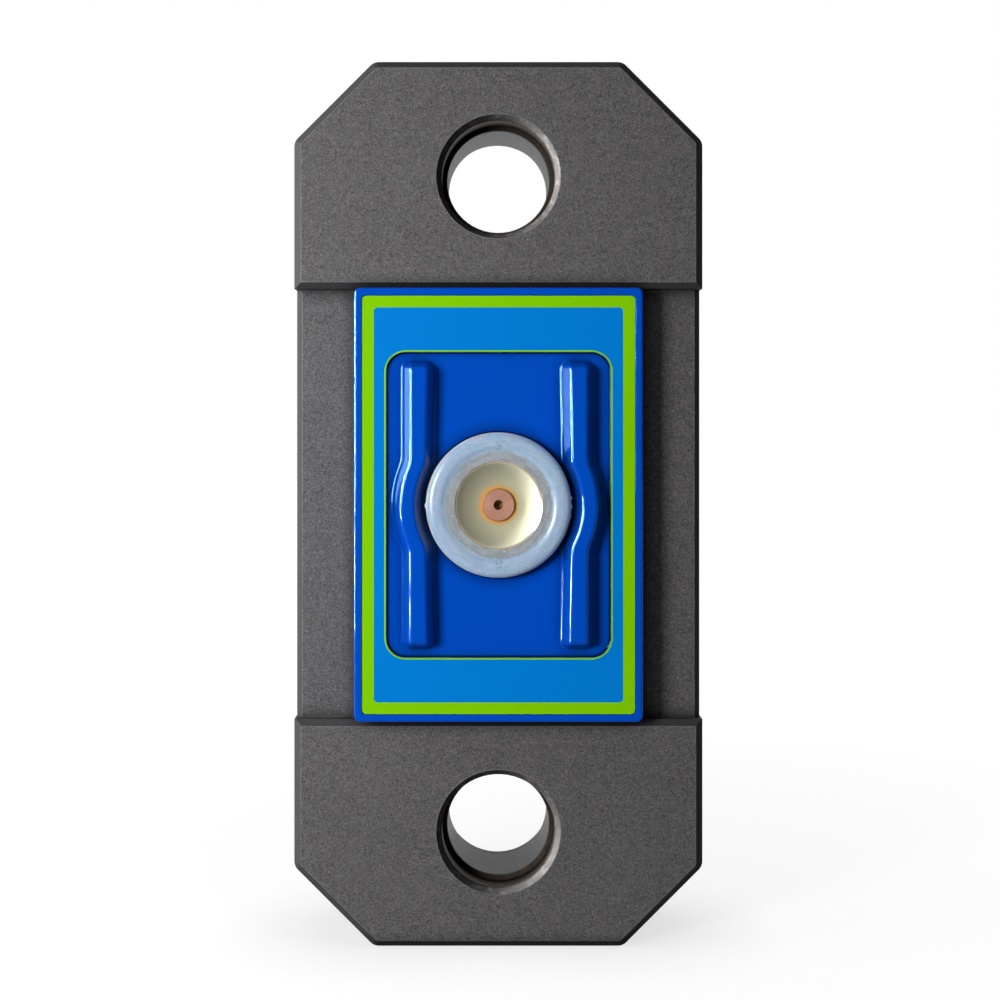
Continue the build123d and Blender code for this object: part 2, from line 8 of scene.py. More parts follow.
import bmesh
import bpy
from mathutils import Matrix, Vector


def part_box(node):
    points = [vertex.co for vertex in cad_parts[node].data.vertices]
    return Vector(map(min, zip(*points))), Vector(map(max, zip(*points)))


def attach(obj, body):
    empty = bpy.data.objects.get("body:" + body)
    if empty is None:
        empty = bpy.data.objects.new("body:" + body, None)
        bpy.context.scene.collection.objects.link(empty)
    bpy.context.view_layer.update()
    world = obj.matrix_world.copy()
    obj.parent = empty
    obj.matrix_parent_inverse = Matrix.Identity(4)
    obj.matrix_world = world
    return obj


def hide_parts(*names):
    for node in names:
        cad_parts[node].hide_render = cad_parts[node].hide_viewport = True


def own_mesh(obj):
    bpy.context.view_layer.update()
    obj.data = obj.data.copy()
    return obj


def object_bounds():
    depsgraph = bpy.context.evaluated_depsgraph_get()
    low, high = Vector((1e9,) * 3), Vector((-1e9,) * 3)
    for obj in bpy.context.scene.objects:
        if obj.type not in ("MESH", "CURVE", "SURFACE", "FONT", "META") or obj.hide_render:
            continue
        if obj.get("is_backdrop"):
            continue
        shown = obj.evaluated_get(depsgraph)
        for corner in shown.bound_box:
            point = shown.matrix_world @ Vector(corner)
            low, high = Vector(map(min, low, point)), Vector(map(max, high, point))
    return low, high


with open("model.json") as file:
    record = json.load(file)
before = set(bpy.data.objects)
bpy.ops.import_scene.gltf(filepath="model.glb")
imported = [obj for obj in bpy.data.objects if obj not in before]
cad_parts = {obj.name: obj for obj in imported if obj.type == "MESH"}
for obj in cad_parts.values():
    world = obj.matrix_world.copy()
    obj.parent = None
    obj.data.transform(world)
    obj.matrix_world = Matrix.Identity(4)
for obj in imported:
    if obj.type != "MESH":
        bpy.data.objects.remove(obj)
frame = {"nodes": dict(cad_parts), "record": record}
log = logging.getLogger("load_cell")

Colour = tuple[float, float, float]
Place = tuple[float, float, float]
Socket = bpy.types.NodeSocket
Value = Union[float, int, tuple, Socket]
MM = 0.001
SOFT = 0.0001  # the width of a soft step between two fields, and of a broken corner
ORIGIN: Place = (0.0, 0.0, 0.0)


class Body(Enum):
    """The two bodies of the load cell."""

    CELL = "cell"
    BUTTON = "button"


class Axis(Enum):
    """The part's axes, by their place in a vector."""

    X = 0
    Y = 1
    Z = 2


class NodeMaker:
    """Adds nodes to one tree and joins them with short calls."""

    def __init__(self, tree: bpy.types.NodeTree) -> None:
        """Keeps the tree that the nodes go into."""
        self.tree = tree

    def feed(self, socket: Socket, value: Value) -> None:
        """Links an output to a socket, or sets the socket to a constant.

        Args:
            socket: The input that gets the value.
            value: An output socket or a constant.
        """
        if isinstance(value, Socket):
            self.tree.links.new(value, socket)
        else:
            socket.default_value = value

    def add(self, kind: str, values: Optional[dict] = None, **settings: object) -> bpy.types.Node:
        """Adds a node with its settings and inputs.

        Args:
            kind: The node's type name.
            values: Input name or index against an output socket or a constant.
            settings: Properties of the node.

        Returns:
            The new node.
        """
        node = self.tree.nodes.new(kind)
        for key, value in settings.items():
            setattr(node, key, value)
        for key, value in (values or {}).items():
            self.feed(node.inputs[key], value)
        return node

    def math(self, operation: str, *values: Value) -> Socket:
        """The result of one Math node."""
        return self.add("ShaderNodeMath", dict(enumerate(values)), operation=operation).outputs[0]

    def times(self, *values: Value) -> Socket:
        """The product of two values."""
        return self.math("MULTIPLY", *values)

    def plus(self, *values: Value) -> Socket:
        """The sum of two values."""
        return self.math("ADD", *values)

    def minus(self, *values: Value) -> Socket:
        """The first value less the second."""
        return self.math("SUBTRACT", *values)

    def size_of(self, value: Value) -> Socket:
        """A value without its sign."""
        return self.math("ABSOLUTE", value)

    def vector(self, operation: str, *values: Value) -> Socket:
        """The result of one Vector Math node."""
        node = self.add("ShaderNodeVectorMath", dict(enumerate(values)), operation=operation)
        return node.outputs["Value" if operation in ("LENGTH", "DOT_PRODUCT", "DISTANCE") else "Vector"]

    def ramp(self, value: Value, low: Value, high: Value, start: Value = 0.0, end: Value = 1.0) -> Socket:
        """Maps a value from low..high to start..end, clamped.

        Args:
            value: The value to map.
            low: The value that gives start.
            high: The value that gives end.
            start: The result at low.
            end: The result at high.

        Returns:
            The mapped value.
        """
        return self.add("ShaderNodeMapRange", {0: value, 1: low, 2: high, 3: start, 4: end}).outputs[0]

    def mix(self, share: Value, first: Value, second: Value) -> Socket:
        """Mixes two colours.

        Args:
            share: How much of the second colour there is.
            first: The colour where share is 0.
            second: The colour where share is 1.

        Returns:
            The mixed colour.
        """
        values = {0: share, 6: opaque(first), 7: opaque(second)}
        return self.add("ShaderNodeMix", values, data_type="RGBA").outputs[2]

    def place(self) -> Socket:
        """The point on the piece, in the part's own frame."""
        return self.add("ShaderNodeTexCoord").outputs["Object"]

    def offset(self, centre: Value) -> Socket:
        """The point on the piece, seen from a centre."""
        return self.vector("SUBTRACT", self.place(), centre)

    def from_axis(self, x: Value, z: Value) -> Socket:
        """The distance from an axis along Y."""
        flat = self.add("ShaderNodeCombineXYZ", {0: x, 1: 0.0, 2: z}).outputs[0]
        return self.vector("LENGTH", flat)

    def axes(self, vector: Value) -> tuple[Socket, ...]:
        """The X, Y and Z of a vector."""
        return tuple(self.add("ShaderNodeSeparateXYZ", {0: vector}).outputs)

    def noise(self, scale: Value, detail: float = 2.0, vector: Optional[Value] = None) -> Socket:
        """Noise from 0 to 1.

        Args:
            scale: Features per metre.
            detail: How many finer layers there are.
            vector: The point it is read at, or the point on the piece.

        Returns:
            The noise's value.
        """
        values = {"Vector": vector or self.place(), "Scale": scale, "Detail": detail}
        return self.add("ShaderNodeTexNoise", values).outputs[0]

    def group(self, tree: bpy.types.NodeTree, **values: Value) -> bpy.types.Node:
        """Places a node group.

        Args:
            tree: The group.
            values: Its inputs, by their names in lower case with underscores.

        Returns:
            The group's node.
        """
        named = {key.replace("_", " ").capitalize(): value for key, value in values.items()}
        node = self.tree.nodes.new("ShaderNodeGroup")
        node.node_tree = tree
        for key, value in named.items():
            self.feed(node.inputs[key], value)
        return node


def opaque(value: Value) -> Value:
    """A colour with full alpha, or a socket as it is."""
    return (*value, 1.0) if isinstance(value, tuple) and len(value) == 3 else value


class Effects:
    """The shader groups that several finishes share, each built once."""

    trees: dict[str, bpy.types.NodeTree] = {}

    @classmethod
    def make(
        cls, name: str, inputs: dict, outputs: tuple[str, ...], fill: Callable,
        result: str = "NodeSocketFloat",
    ) -> bpy.types.NodeTree:
        """Builds a group the first time it is asked for.

        Args:
            name: The group's name.
            inputs: Its float inputs with their defaults; a tuple makes a vector input.
            outputs: The names of its outputs.
            fill: Given the maker and the inputs by name, returns the outputs by name.
            result: The type of the outputs.

        Returns:
            The group.
        """
        if name in cls.trees:
            return cls.trees[name]
        tree = bpy.data.node_groups.new(name, "ShaderNodeTree")
        for key, value in inputs.items():
            kind = "NodeSocketVector" if isinstance(value, tuple) else "NodeSocketFloat"
            tree.interface.new_socket(name=key, in_out="INPUT", socket_type=kind).default_value = value
        for key in outputs:
            tree.interface.new_socket(name=key, in_out="OUTPUT", socket_type=result)
        maker = NodeMaker(tree)
        source = tree.nodes.new("NodeGroupInput")
        results = fill(maker, {key: source.outputs[key] for key in inputs})
        sink = tree.nodes.new("NodeGroupOutput")
        for key in outputs:
            maker.feed(sink.inputs[key], results[key])
        cls.trees[name] = tree
        return tree

    @classmethod
    def grain(cls) -> bpy.types.NodeTree:
        """Fine mottling with a slow cloud over it: Tone about 0 and Height from 0 to 1.

        Returns:
            The group.
        """

        def fill(maker: NodeMaker, given: dict) -> dict:
            """Joins a fine and a slow noise.

            Args:
                maker: Adds to the tree.
                given: The tree's inputs by name.

            Returns:
                The outputs by name.
            """
            place = maker.place()
            fine = maker.noise(given["Fineness"], 3.0, place)
            cloud = maker.noise(given["Cloud"], 2.0, place)
            slow = maker.times(maker.minus(cloud, 0.5), 0.6)
            tone = maker.plus(maker.minus(fine, 0.5), slow)
            return {"Tone": maker.times(tone, given["Amount"]), "Height": fine}

        inputs = {"Fineness": 3000.0, "Cloud": 60.0, "Amount": 1.0}
        return cls.make("grain", inputs, ("Tone", "Height"), fill)

    @classmethod
    def edges(cls) -> bpy.types.NodeTree:
        """Where a surface turns a corner within Radius: Mask from 0 to 1, broken up a little.

        Returns:
            The group.
        """

        def fill(maker: NodeMaker, given: dict) -> dict:
            """Compares the rounded normal with the true one.

            Args:
                maker: Adds to the tree.
                given: The tree's inputs by name.

            Returns:
                The outputs by name.
            """
            rounded = maker.add("ShaderNodeBevel", {"Radius": given["Radius"]}, samples=4).outputs[0]
            true = maker.add("ShaderNodeNewGeometry").outputs["Normal"]
            bend = maker.minus(1.0, maker.vector("DOT_PRODUCT", rounded, true))
            wear_and_highlight = maker.ramp(maker.noise(given["Breakup"]), 0.3, 0.7, 0.5, 1.0)
            return {"Mask": maker.times(maker.ramp(bend, 0.01, 0.16), wear_and_highlight)}

        return cls.make("edges", {"Radius": 0.0004, "Breakup": 400.0}, ("Mask",), fill)

    @classmethod
    def painted_hollow_shade(cls) -> bpy.types.NodeTree:
        """How far a point is sheltered by what stands within Reach of it: Mask from 0 to 1, used to paint
        shade into a finish's colour.

        Returns:
            The group.
        """

        def fill(maker: NodeMaker, given: dict) -> dict:
            """Turns the open share of the sky round.

            Args:
                maker: Adds to the tree.
                given: The tree's inputs by name.

            Returns:
                The outputs by name.
            """
            values = {"Distance": given["Reach"]}
            open_share = maker.add("ShaderNodeAmbientOcclusion", values, samples=6).outputs["AO"]
            return {"Mask": maker.ramp(open_share, 0.52, 0.95, 1.0, 0.0)}

        return cls.make("painted_hollow_shade", {"Reach": 0.003}, ("Mask",), fill)

    @classmethod
    def rounding(cls) -> bpy.types.NodeTree:
        """The normal as if edges were rounded over Radius.

        Returns:
            The group.
        """

        def fill(maker: NodeMaker, given: dict) -> dict:
            """Reads the rounded normal."""
            return {"Normal": maker.add("ShaderNodeBevel", {"Radius": given["Radius"]}, samples=6).outputs[0]}

        return cls.make("rounding", {"Radius": 0.0004}, ("Normal",), fill, "NodeSocketVector")

    @classmethod
    def turned(cls) -> bpy.types.NodeTree:
        """Fine rings about an axis along Y through Centre: Wave from 0 to 1, and Radius.

        Returns:
            The group.
        """

        def fill(maker: NodeMaker, given: dict) -> dict:
            """Makes rings of the distance from the axis and along it.

            Args:
                maker: Adds to the tree.
                given: The tree's inputs by name.

            Returns:
                The outputs by name.
            """
            x, y, z = maker.axes(maker.offset(given["Centre"]))
            radius = maker.from_axis(x, z)
            run = maker.math("DIVIDE", maker.plus(radius, y), given["Pitch"])
            shake = maker.times(maker.noise(500.0, 1.0), 0.8)
            wave = maker.math("SINE", maker.times(maker.plus(run, shake), 2 * math.pi))
            return {"Wave": maker.ramp(wave, -1.0, 1.0), "Radius": radius}

        inputs = {"Centre": (0.0, 0.0, 0.0), "Pitch": 0.0003}
        return cls.make("turned", inputs, ("Wave", "Radius"), fill)

    @classmethod
    def scuffs(cls) -> bpy.types.NodeTree:
        """Faint rubbed streaks and smears, from 0 to 1, for roughness.

        Returns:
            The group.
        """

        def fill(maker: NodeMaker, given: dict) -> dict:
            """Stretches noise two ways and adds a smear.

            Args:
                maker: Adds to the tree.
                given: The tree's inputs by name.

            Returns:
                The outputs by name.
            """
            place = maker.place()
            turn = {"Vector": place, "Rotation": (0.3, 0.5, 0.7), "Scale": (1.0, 1.0, 14.0)}
            tilted = maker.add("ShaderNodeMapping", turn)
            streak = maker.ramp(maker.noise(given["Fineness"], 2.0, tilted.outputs[0]), 0.55, 0.75)
            smear = maker.ramp(maker.noise(35.0, 3.0, place), 0.35, 0.7)
            total = maker.plus(maker.times(streak, 0.5), maker.times(smear, 0.5))
            return {"Mask": maker.times(total, given["Amount"])}

        return cls.make("scuffs", {"Fineness": 260.0, "Amount": 1.0}, ("Mask",), fill)

    @classmethod
    def panel_distance(cls) -> bpy.types.NodeTree:
        """Distance outside a rounded rectangle that faces the front: negative inside it, in metres.

        Returns:
            The group.
        """

        def fill(maker: NodeMaker, given: dict) -> dict:
            """Works out the signed distance from the offset past the rounded corner's centre.

            Args:
                maker: Adds to the tree.
                given: The tree's inputs by name.

            Returns:
                The outputs by name.
            """
            x, _, z = maker.axes(maker.offset(given["Centre"]))
            past = []
            for value, key in ((x, "Half width"), (z, "Half height")):
                inner = maker.minus(given[key], given["Corner"])
                past.append(maker.minus(maker.size_of(value), inner))
            outside = [maker.math("MAXIMUM", value, 0.0) for value in past]
            squares = [maker.times(value, value) for value in outside]
            corner = maker.math("SQRT", maker.plus(*squares))
            inside = maker.math("MINIMUM", maker.math("MAXIMUM", *past), 0.0)
            whole = maker.plus(corner, inside)
            return {"Distance": maker.minus(whole, given["Corner"])}

        inputs = {"Centre": (0.0, 0.0, 0.0), "Half width": 0.01, "Half height": 0.01, "Corner": 0.001}
        return cls.make("panel_distance", inputs, ("Distance",), fill)


@dataclass
class Look:
    """What a finish's pattern may change on its way to the shader."""

    colour: Value
    height: Value
    rough: Value
    metal: Value
    edges: Value = 1.0

    def tint(self, maker: NodeMaker, mask: Value, share: float, colour: Colour) -> None:
        """Lays a share of a colour where the mask is."""
        self.colour = maker.mix(maker.times(mask, share), self.colour, colour)

    def lift(self, maker: NodeMaker, mask: Value, amount: float) -> None:
        """Raises the surface by an amount where the mask is."""
        self.height = maker.plus(self.height, maker.times(mask, amount))


@dataclass(frozen=True)
class Finish:
    """A surface: its plain colour and gloss, and how much fine detail lies over them."""

    name: str
    slot: str
    colour: Colour
    roughness: float
    metallic: float = 0.0
    fineness: float = 3000.0
    mottle: float = 0.12
    bump: float = 0.02
    scuff: float = 0.05
    edge: float = 0.25
    edge_width: float = 0.0003
    edge_round: float = 0.0
    painted_shade: float = 0.0
    painted_shade_reach: float = 0.003
    specular: float = 0.5
    gleam: Colour = (1.0, 1.0, 1.0)
    edge_lift: float = 0.04
    subsurface: float = 0.0
    subsurface_size: float = 0.002

    def pattern(self, maker: NodeMaker, look: Look) -> None:
        """Adds what a finish has of its own; the plain one adds nothing."""

    def material(self) -> bpy.types.Material:
        """The finished material, built once.

        Returns:
            The material.
        """
        known = bpy.data.materials.get(self.name)
        if known:
            return known
        material = bpy.data.materials.new(self.name)
        material.use_nodes = True
        shader = next(node for node in material.node_tree.nodes if node.type == "BSDF_PRINCIPLED")
        maker = NodeMaker(material.node_tree)
        grain = maker.group(Effects.grain(), fineness=self.fineness, amount=self.mottle)
        tone = grain.outputs["Tone"]
        colour = maker.mix(maker.math("MAXIMUM", tone, 0.0), self.colour, lighter(self.colour, 1.8))
        darker = maker.math("MAXIMUM", maker.times(tone, -1.0), 0.0)
        colour = maker.mix(darker, colour, lighter(self.colour, 0.3))
        scuffs = maker.group(Effects.scuffs(), amount=self.scuff)
        rough = maker.plus(scuffs.outputs["Mask"], self.roughness)
        look = Look(colour, maker.times(grain.outputs["Height"], self.bump), rough, self.metallic)
        self.pattern(maker, look)
        # partly wear, partly a painted highlight: the edge mask lightens the colour along corners
        if self.edge:
            edges = maker.group(Effects.edges(), radius=self.edge_width)
            wear_and_highlight = maker.times(edges.outputs["Mask"], self.edge)
            wear_and_highlight = maker.times(wear_and_highlight, look.edges)
            look.colour = maker.mix(wear_and_highlight, look.colour, lighter(self.colour, 1.7, self.edge_lift))
        # painted shade: the colour darkens where the surface is sheltered by nearby parts
        if self.painted_shade:
            painted_hollow_shade = maker.group(Effects.painted_hollow_shade(), reach=self.painted_shade_reach)
            deep = maker.times(painted_hollow_shade.outputs["Mask"], self.painted_shade)
            look.colour = maker.mix(deep, look.colour, lighter(self.colour, 0.08))
        maker.feed(shader.inputs["Base Color"], look.colour)
        maker.feed(shader.inputs["Roughness"], look.rough)
        maker.feed(shader.inputs["Metallic"], look.metal)
        shader.inputs["Specular IOR Level"].default_value = self.specular
        shader.inputs["Specular Tint"].default_value = opaque(self.gleam)
        shader.inputs["Subsurface Weight"].default_value = self.subsurface
        shader.inputs["Subsurface Scale"].default_value = self.subsurface_size
        bump = maker.add("ShaderNodeBump", {"Height": look.height, "Distance": MM, "Strength": 1.0})
        if self.edge_round:
            rounded = maker.group(Effects.rounding(), radius=self.edge_round)
            maker.feed(bump.inputs["Normal"], rounded.outputs[0])
        maker.feed(shader.inputs["Normal"], bump.outputs[0])
        return material


def lighter(colour: Colour, share: float, lift: float = 0.0) -> Colour:
    """A colour made lighter, or darker where share is under 1."""
    return tuple(min(1.0, share * part + lift) for part in colour)


@dataclass(frozen=True)
class HardCoat(Finish):
    """Grained hard coat on the bar, smoother on its chamfers and painted darker there as shade, with bare
    turned metal in the bores.
    """

    bores: tuple[Place, ...] = ()
    land: float = 0.01315
    relief: float = 0.0143
    mouth: float = 0.01555
    ring_pitch: float = 0.00062
    painted_slant_shade: float = 0.62
    land_metal: Colour = (0.120, 0.118, 0.118)
    relief_metal: Colour = (0.062, 0.048, 0.038)
    mouth_metal: Colour = (0.155, 0.154, 0.154)
    groove_metal: Colour = (0.016, 0.012, 0.010)
    valley_shade: float = 0.62

    def pattern(self, maker: NodeMaker, look: Look) -> None:
        """Adds the worm grain, paints shade onto the chamfers, and turns the bores.

        Args:
            maker: Adds to the material's tree.
            look: What goes to the shader, changed in place.
        """
        values = {"Vector": maker.place(), "Scale": 1900.0, "Detail": 2.0, "Distortion": 1.5}
        worms = maker.add("ShaderNodeTexNoise", values).outputs[0]
        ridge = maker.ramp(maker.size_of(maker.minus(worms, 0.5)), 0.0, 0.08, 1.0, 0.0)
        facing = maker.size_of(maker.axes(maker.add("ShaderNodeTexCoord").outputs["Normal"])[1])
        slant = maker.times(maker.ramp(facing, 0.98, 0.85), maker.ramp(facing, 0.2, 0.4))
        grain = maker.times(ridge, maker.ramp(slant, 0.0, 1.0, 0.85, 0.2))
        valley = maker.mix(self.valley_shade, look.colour, lighter(self.colour, 0.25))
        look.colour = maker.mix(grain, valley, lighter(self.colour, 2.0))
        look.lift(maker, grain, 0.04)
        # painted shade: chamfers, which face away from the front, get a darker colour
        look.tint(maker, slant, self.painted_slant_shade, lighter(self.colour, 0.2))
        look.edges = maker.ramp(slant, 0.0, 0.6, 1.0, 0.1)
        look.rough = maker.plus(look.rough, maker.times(slant, 0.3))
        for centre in self.bores:
            rings = maker.group(Effects.turned(), centre=centre, pitch=self.ring_pitch)
            radius, wave = rings.outputs["Radius"], rings.outputs["Wave"]
            inside = maker.ramp(radius, self.mouth, self.mouth + SOFT, 1.0, 0.0)
            step = maker.ramp(radius, self.land, self.land + SOFT)
            metal = maker.mix(step, self.land_metal, self.relief_metal)
            step = maker.ramp(radius, self.relief, self.relief + SOFT)
            metal = maker.mix(step, metal, self.mouth_metal)
            metal = maker.mix(maker.times(wave, 0.7), metal, self.groove_metal)
            look.colour = maker.mix(inside, look.colour, metal)
            look.height = maker.plus(look.height, maker.times(maker.times(wave, inside), 0.04))
            look.rough = maker.minus(look.rough, maker.times(inside, 0.06))
            look.metal = maker.plus(inside, look.metal)


@dataclass(frozen=True)
class Windowed(Finish):
    """A finish that follows the rounded window round the panel."""

    centre: Place = ORIGIN
    window: tuple[float, float] = (0.0278, 0.0378)
    window_corner: float = 0.0049

    def past(self, maker: NodeMaker, half: tuple[float, float], corner: float) -> Socket:
        """How far a point lies outside a rounded panel of half a width and height; negative inside it."""
        sizes = {"half_width": half[0], "half_height": half[1], "corner": corner}
        return maker.group(Effects.panel_distance(), centre=self.centre, **sizes).outputs[0]


@dataclass(frozen=True)
class PrintedFilm(Windowed):
    """The printed overlay: a wide border, a field, and a thin line round the window."""

    green: Colour = (0.195, 0.53, 0.0005)
    half: tuple[float, float] = (0.0337, 0.0517)
    border: float = 0.0029
    line: float = 0.00045

    def pattern(self, maker: NodeMaker, look: Look) -> None:
        """Lays the two green prints over the field.

        Args:
            maker: Adds to the material's tree.
            look: What goes to the shader, changed in place.
        """
        soft = 0.00004
        field = (self.half[0] - self.border, self.half[1] - self.border)
        border = maker.ramp(self.past(maker, field, 0.001), -soft, soft)
        inner = self.past(maker, self.window, self.window_corner)
        line = maker.ramp(inner, self.line - soft, self.line + soft, 1.0, 0.0)
        printed = maker.math("MAXIMUM", border, line)
        ink = maker.mix(maker.times(maker.noise(900.0), 0.2), self.green, lighter(self.green, 0.85))
        look.colour = maker.mix(printed, look.colour, ink)
        look.lift(maker, printed, 0.012)
        look.rough = maker.plus(look.rough, maker.times(printed, 0.04))


@dataclass(frozen=True)
class Moulded(Windowed):
    """Glossy moulding with a painted shadow line just inside the panel's edge, sunk a little as a fine
    groove.
    """

    # width of the painted shadow line at the panel's step, also sunk as a groove
    groove: float = 0.0004

    def pattern(self, maker: NodeMaker, look: Look) -> None:
        """Paints the shadow line along the panel's edge and sinks it as a fine groove.

        Args:
            maker: Adds to the material's tree.
            look: What goes to the shader, changed in place.
        """
        inner = self.past(maker, self.window, self.window_corner)
        distance = maker.size_of(maker.plus(inner, self.groove / 2))
        painted_edge_shadow = maker.ramp(distance, self.groove / 2, self.groove / 2 + SOFT, 1.0, 0.0)
        # painted shadow: a dark line along the panel's step
        look.tint(maker, painted_edge_shadow, 0.75, lighter(self.colour, 0.1))
        look.height = maker.minus(look.height, maker.times(painted_edge_shadow, 0.02))


@dataclass(frozen=True)
class TurnedMetal(Finish):
    """Metal with fine lathe rings about one or more axes along Y."""

    centres: tuple[Place, ...] = ()
    pitch: float = 0.00022
    depth: float = 0.012
    bore: float = 0.0
    rim: float = 1.0
    # colour of the painted shade inside the bore
    deep: Colour = (0.24, 0.165, 0.035)
    rim_colour: Colour = (0.36, 0.15, 0.06)

    def pattern(self, maker: NodeMaker, look: Look) -> None:
        """Adds the rings about each axis, a rim line, and painted shade inside the bore.

        Args:
            maker: Adds to the material's tree.
            look: What goes to the shader, changed in place.
        """
        for centre in self.centres:
            rings = maker.group(Effects.turned(), centre=centre, pitch=self.pitch)
            near = maker.ramp(rings.outputs["Radius"], 0.0045, 0.005, 1.0, 0.0)
            wave = maker.times(rings.outputs["Wave"], near)
            look.lift(maker, wave, self.depth)
            look.tint(maker, wave, 0.18, lighter(self.colour, 0.5))
            edge = maker.ramp(rings.outputs["Radius"], self.rim - SOFT, self.rim, 0.0, 0.7)
            look.colour = maker.mix(edge, look.colour, self.rim_colour)
            # painted shade: the bore is darkened to the deep colour
            hole = maker.ramp(rings.outputs["Radius"], self.bore - SOFT, self.bore, 1.0, 0.0)
            look.tint(maker, hole, 0.85, self.deep)


@dataclass(frozen=True)
class SoftRing(Finish):
    """Milky silicone: bluer where it is deep, greyer on the flat land, with faint flow streaks, specks and a
    painted highlight line round its rim.
    """

    centre: Place = ORIGIN
    land_colour: Colour = (0.27, 0.282, 0.287)
    land_start: float = 0.0107
    land_end: float = 0.0132
    rim: float = 0.0178
    marks: float = 0.0144
    lip_colour: Colour = (0.42, 0.30, 0.17)
    rim_colour: Colour = (0.66, 0.74, 0.82)
    speck_colour: Colour = (0.9, 0.92, 0.95)
    streak_colour: Colour = (0.62, 0.66, 0.70)
    mark_colour: Colour = (0.10, 0.11, 0.13)

    def pattern(self, maker: NodeMaker, look: Look) -> None:
        """Colours the ring by its distance from the axis.

        Args:
            maker: Adds to the material's tree.
            look: What goes to the shader, changed in place.
        """
        rings = maker.group(Effects.turned(), centre=self.centre, pitch=0.0009)
        radius = rings.outputs["Radius"]
        shaken = maker.plus(radius, maker.times(maker.minus(maker.noise(700.0, 3.0), 0.5), 0.0009))
        land = maker.ramp(shaken, self.land_end - 0.0003, self.land_end + 0.0003, 1.0, 0.0)
        look.tint(maker, land, 0.85, self.land_colour)
        lip = maker.ramp(radius, self.land_start, self.land_start + 0.0003, 1.0, 0.0)
        look.tint(maker, lip, 0.7, self.lip_colour)
        # painted highlight: a bright line along the ring's outer rim
        rim = maker.ramp(radius, self.rim - 0.0004, self.rim)
        look.tint(maker, rim, 0.85, self.rim_colour)
        specks = maker.ramp(maker.noise(1900.0, 1.0), 0.70, 0.74)
        look.tint(maker, specks, 0.35, self.speck_colour)
        streaks = maker.ramp(self.streaks(maker), 0.42, 0.66)
        look.tint(maker, streaks, 0.22, self.streak_colour)
        x, _, _ = maker.axes(maker.offset(self.centre))
        narrow = maker.ramp(maker.size_of(x), 0.0006, 0.0011, 1.0, 0.0)
        gap = maker.size_of(maker.minus(radius, self.marks))
        near = maker.ramp(gap, 0.0007, 0.0012, 1.0, 0.0)
        broken = maker.ramp(maker.noise(2600.0, 1.0), 0.50, 0.56)
        mark = maker.times(maker.times(narrow, near), broken)
        look.tint(maker, mark, 0.55, self.mark_colour)

    def streaks(self, maker: NodeMaker) -> Socket:
        """Noise drawn out round the axis.

        Args:
            maker: Adds to the material's tree.

        Returns:
            The noise's value, from 0 to 1.
        """
        x, y, z = maker.axes(maker.offset(self.centre))
        turn = maker.times(maker.math("ARCTAN2", z, x), 0.004)
        drawn = maker.add("ShaderNodeCombineXYZ", {0: turn, 1: y, 2: maker.from_axis(x, z)}).outputs[0]
        return maker.noise(1100.0, 3.0, drawn)


@dataclass(frozen=True)
class DishGlow(Finish):
    """The cream core, with faint rings and an amber glow round the plunger's head."""

    centre: Place = ORIGIN
    amber: Colour = (0.62, 0.31, 0.045)
    glow_start: float = 0.0043
    glow_end: float = 0.0053
    ring_colour: Colour = (0.30, 0.27, 0.16)
    deep_colour: Colour = (0.40, 0.36, 0.20)
    lip_colour: Colour = (0.50, 0.36, 0.22)

    def pattern(self, maker: NodeMaker, look: Look) -> None:
        """Colours the dish by its distance from the axis.

        Args:
            maker: Adds to the material's tree.
            look: What goes to the shader, changed in place.
        """
        rings = maker.group(Effects.turned(), centre=self.centre, pitch=0.0005)
        radius = rings.outputs["Radius"]
        look.lift(maker, rings.outputs["Wave"], 0.004)
        look.tint(maker, rings.outputs["Wave"], 0.10, self.ring_colour)
        deep = maker.ramp(radius, 0.0044, 0.0100, 0.45, 0.0)
        look.colour = maker.mix(deep, look.colour, self.deep_colour)
        glow = maker.ramp(radius, self.glow_start, self.glow_end, 1.0, 0.0)
        look.colour = maker.mix(glow, look.colour, self.amber)
        lip = maker.ramp(radius, 0.01025, 0.0105)
        look.tint(maker, lip, 0.6, self.lip_colour)


@dataclass(frozen=True)
class Stripes(Finish):
    """Evenly spaced stripes of a second surface along one axis, inside a box about a centre."""

    axis: Axis = Axis.X
    pitch: float = 0.001
    share: float = 0.5
    second: Colour = (0.6, 0.6, 0.6)
    second_metal: float = 1.0
    centre: Place = ORIGIN
    reach: Place = (1.0, 1.0, 1.0)

    def pattern(self, maker: NodeMaker, look: Look) -> None:
        """Lays the stripes over the plain surface.

        Args:
            maker: Adds to the material's tree.
            look: What goes to the shader, changed in place.
        """
        axes = maker.axes(maker.offset(self.centre))
        wave = maker.math("PINGPONG", maker.plus(axes[self.axis.value], 1000 * self.pitch), self.pitch / 2)
        edge = self.pitch / 2 * self.share
        mask = maker.ramp(wave, edge - 0.00003, edge + 0.00003, 1.0, 0.0)
        for value, reach in zip(axes, self.reach):
            near = maker.math("LESS_THAN", maker.size_of(value), reach)
            mask = maker.times(mask, near)
        look.colour = maker.mix(mask, look.colour, self.second)
        look.metal = maker.times(mask, self.second_metal)
        look.lift(maker, mask, 0.03)


